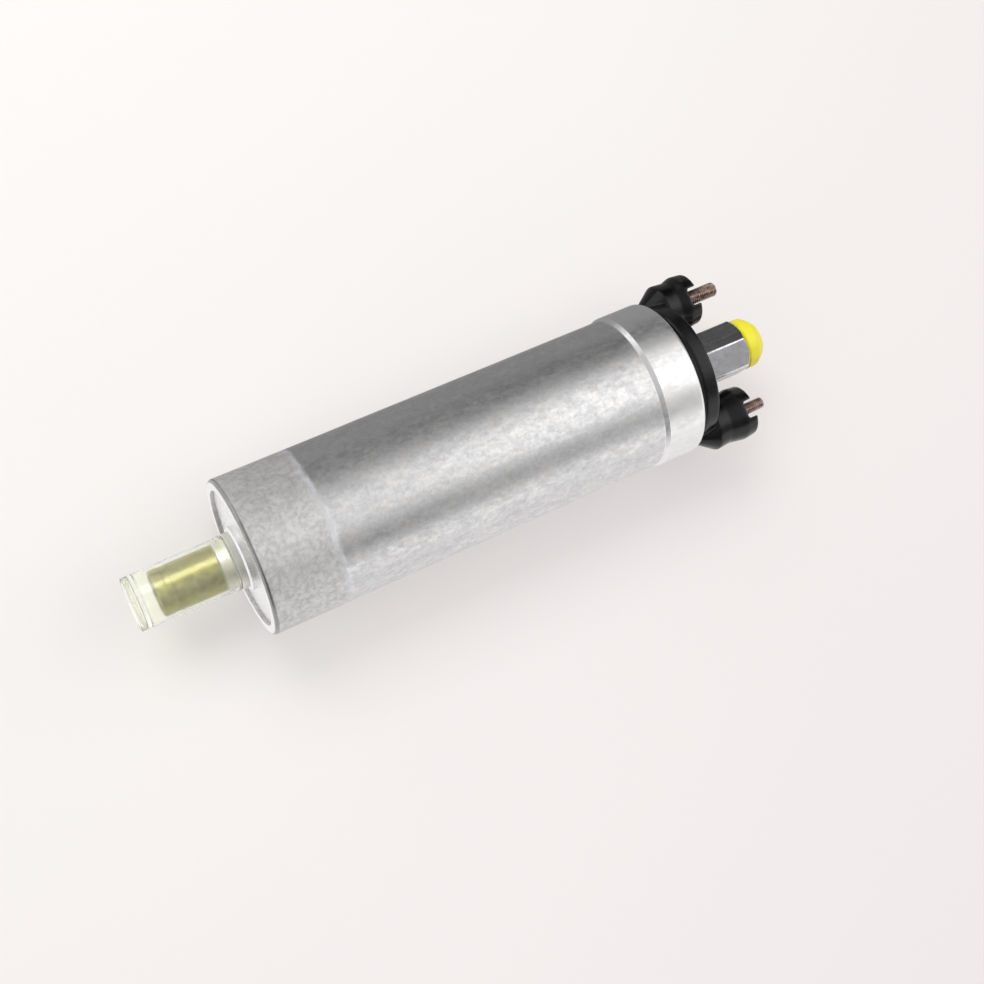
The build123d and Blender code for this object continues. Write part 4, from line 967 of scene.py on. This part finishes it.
# Inlet dust cap
# A thin cap of natural polyethylene, clear with a yellow cast, pushed over the hose stub.
# It has a bead at its mouth and its closed end is set back inside a short rim.
low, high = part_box("inlet_cap")
cap_end = low.x / mm
mouth = high.x / mm
bead = high.y / mm
wall = 0.7
outer = bead - 0.3
inner = outer - wall
floor_in = stub_tip - 4.5
floor_out = floor_in - 1.2
profile = [
    (mouth, inner + 0.12, 0.1),
    (mouth, bead, 0.28),
    (mouth - 1.4, bead, 0.28),
    (mouth - 1.8, outer, 0.2),
    (cap_end, outer - 0.2, 0.3),
    (cap_end, inner - 0.2, 0.28),
    (floor_out, inner - 0.25, 0.4),
    (floor_out, 0.0),
    (floor_in, 0.0),
    (floor_in, inner - 0.15, 0.6),
    (mouth - 0.3, inner),
]
natural, tree, shader = finish("natural_poly", Metallic=0.0, Transmission_Weight=0.92, IOR=1.45)
clouds = use(tree, mottle, size=4.0, contrast=0.5, seed=101.0)["Patches"]
wear = use(tree, edge_wear, amount=0.5, size=1.5, seed=102.0)["Wear"]
tone = blend(tree, clouds, (0.965, 0.97, 0.88, 1), (0.985, 0.99, 0.94, 1))
tone = blend(tree, wear, tone, (0.99, 0.99, 0.97, 1))
feed(tree, shader, tone, ramp(tree, clouds, 0.0, 1.0, 0.09, 0.15))
bump(tree, shader, clouds, 0.1, 0.04)
# The clear wall lets light through to the table, so its shadow is only a faint yellow
passing = put(tree, "ShaderNodeBsdfTransparent", {"Color": (0.95, 0.96, 0.86, 1)})
shadow_ray = put(tree, "ShaderNodeLightPath").outputs["Is Shadow Ray"]
mixed = put(
    tree, "ShaderNodeMixShader", {0: shadow_ray, 1: shader.outputs[0], 2: passing.outputs[0]}
)
tree.links.new(mixed.outputs[0], tree.nodes["Material Output"].inputs["Surface"])
rows = rounded(profile, 6)
turned("natural_cap", rows, natural, "inlet_dust_cap", "clear_cap", "inlet_cap", 128)


# Table
# A pale matt top that the pump lies on. In what bright metal mirrors of it, it is darker beyond
# the pump, and paler before the pump and at its inlet, as if cards lay there.
reach = 3.0
table_z = shell_low.z - 0.02 * mm
mesh = bpy.data.meshes.new("table_top")
corners = [(-reach, -reach), (reach, -reach), (reach, reach), (-reach, reach)]
mesh.from_pydata([(x, y, table_z) for x, y in corners], [], [(0, 1, 2, 3)])
table = bpy.data.objects.new("table_top", mesh)
bpy.context.scene.collection.objects.link(table)


def over(tree, share, under, colour):
    """A shader partly covered by a glow of strength 1."""
    glow = put(tree, "ShaderNodeEmission", {"Color": colour, "Strength": 1.0}).outputs[0]
    return put(tree, "ShaderNodeMixShader", {0: share, 1: under, 2: glow}).outputs[0]


paper, tree, shader = finish("paper", Metallic=0.0, Roughness=0.9, Specular_IOR_Level=0.1)
parts = xyz(tree, place_on(tree))
toward = calc(tree, "SUBTRACT", times(tree, parts[0], 0.5), parts[1])
warmth = ramp(tree, toward, -0.15, 0.30)
tone = blend(tree, warmth, (0.885, 0.86, 0.84, 1), (0.895, 0.84, 0.85, 1))
tree.links.new(tone, shader.inputs["Base Color"])
light_path = put(tree, "ShaderNodeLightPath").outputs
mirrored = light_path["Is Glossy Ray"]
reflected = calc(tree, "MAXIMUM", mirrored, light_path["Is Transmission Ray"])
seen = calc(tree, "MAXIMUM", light_path["Is Camera Ray"], reflected)
mixed = over(tree, times(tree, seen, 0.45), shader.outputs[0], tone)
beyond = ramp(tree, parts[1], 0.0, 0.05)
dim = times(tree, mirrored, times(tree, beyond, 0.85))
mixed = over(tree, dim, mixed, (0.19, 0.19, 0.195, 1))
beside = ramp(tree, parts[1], -0.02, -0.05)
before_inlet = ramp(tree, parts[0], -0.0765, -0.0785)
near = times(tree, calc(tree, "MAXIMUM", beside, before_inlet), 0.95)
mixed = over(tree, times(tree, reflected, near), mixed, (1.0, 0.985, 0.98, 1))
tree.links.new(mixed, tree.nodes["Material Output"].inputs["Surface"])
mesh.materials.append(paper)


# Studio light
# A wide soft light overhead with dimmer sides, and a key lamp beyond the pump for its shadow.
# The bands of light and dark along the shell are what its bright metal mirrors of this room.
world = bpy.data.worlds.new("studio")
bpy.context.scene.world = world
world.use_nodes = True
tree = world.node_tree
parts = xyz(tree, put(tree, "ShaderNodeTexCoord").outputs["Generated"])
# lean is in degrees from straight up, below 0 beyond the pump and above 0 on the near side.
# overhead is the soft box and fill the room past the outlet. near_side and far_side are the
# walls before and beyond the pump, corner is the far corner at the inlet, and ridge a pale
# patch that the collar mirrors. The last ramp lights the room before the inlet face.
lean = times(tree, calc(tree, "ARCTAN2", parts[1], parts[2]), -180 / pi)
overhead = times(tree, ramp(tree, lean, -62.0, -14.0), ramp(tree, lean, 44.0, 8.0))
overhead = times(tree, overhead, ramp(tree, parts[0], 0.0, 0.55, 0.38, 1.6))
fill = ramp(tree, parts[0], 0.25, 0.48, 0.0, 0.45)
fill = times(tree, fill, ramp(tree, lean, -30.0, 20.0))
near_side = ramp(tree, lean, 52.0, 72.0, 0.0, 1.3)
near_side = times(tree, near_side, ramp(tree, parts[0], -0.2, 0.1))
far_side = ramp(tree, lean, -90.0, -50.0, 0.17, 0.22)
far_side = times(tree, far_side, ramp(tree, parts[0], 0.43, 0.48, 1.0, 0.15))
corner = ramp(tree, parts[0], 0.02, -0.14, 0.0, 1.3)
corner = times(tree, corner, ramp(tree, lean, -35.0, -60.0))
ridge = times(tree, ramp(tree, lean, -82.0, -52.0), ramp(tree, lean, 15.0, -30.0))
ridge = times(tree, ridge, ramp(tree, parts[0], 0.34, 0.42, 0.0, 0.3))
ridge = times(tree, ridge, ramp(tree, parts[0], 0.465, 0.44))
level = calc(tree, "ADD", calc(tree, "ADD", far_side, overhead), calc(tree, "ADD", fill, ridge))
level = calc(tree, "MAXIMUM", level, calc(tree, "MAXIMUM", near_side, corner))
level = calc(tree, "MAXIMUM", level, ramp(tree, parts[0], -0.5, -0.8, 0.0, 1.1))
camera_ray = put(tree, "ShaderNodeLightPath").outputs["Is Camera Ray"]
background = tree.nodes["Background"].inputs
tree.links.new(between(tree, camera_ray, level, 0.93), background["Strength"])
background["Color"].default_value = (1.0, 0.99, 0.98, 1)

key = bpy.data.lights.new("key", "AREA")
key.shape = "RECTANGLE"
key.size = 0.5
key.size_y = 0.35
key.energy = 3.0
key_stand = bpy.data.objects.new("key", key)
bpy.context.scene.collection.objects.link(key_stand)
key_lean = radians(36.0)
key_away = 0.8
key_stand.location = (-0.15, key_away * sin(key_lean), key_away * cos(key_lean))
key_stand.rotation_euler = (-key_lean, 0.0, 0.0)
key_stand.visible_glossy = False


# Camera
# It stands above the inlet end and looks down along the pump. Its place and lens come from a
# fit to the two round rims of the housing in the photograph.
right = Vector((0.8734, -0.3935, 0.2868)).normalized()
up = Vector((0.3830, 0.9190, 0.0944))
back = right.cross(up).normalized()
up = back.cross(right).normalized()
camera = bpy.data.cameras.new("camera")
camera.lens = 54.5
camera.sensor_width = 36.0
camera.shift_y = 0.003
camera.clip_start = 0.01
camera_stand = bpy.data.objects.new("camera", camera)
bpy.context.scene.collection.objects.link(camera_stand)
camera_stand.matrix_world = Matrix.LocRotScale(
    Vector((-0.1402, 0.0, 0.462)), Matrix((right, up, back)).transposed(), None
)
bpy.context.scene.camera = camera_stand
bpy.context.scene.view_settings.view_transform = "Standard"

low, high = cad_box
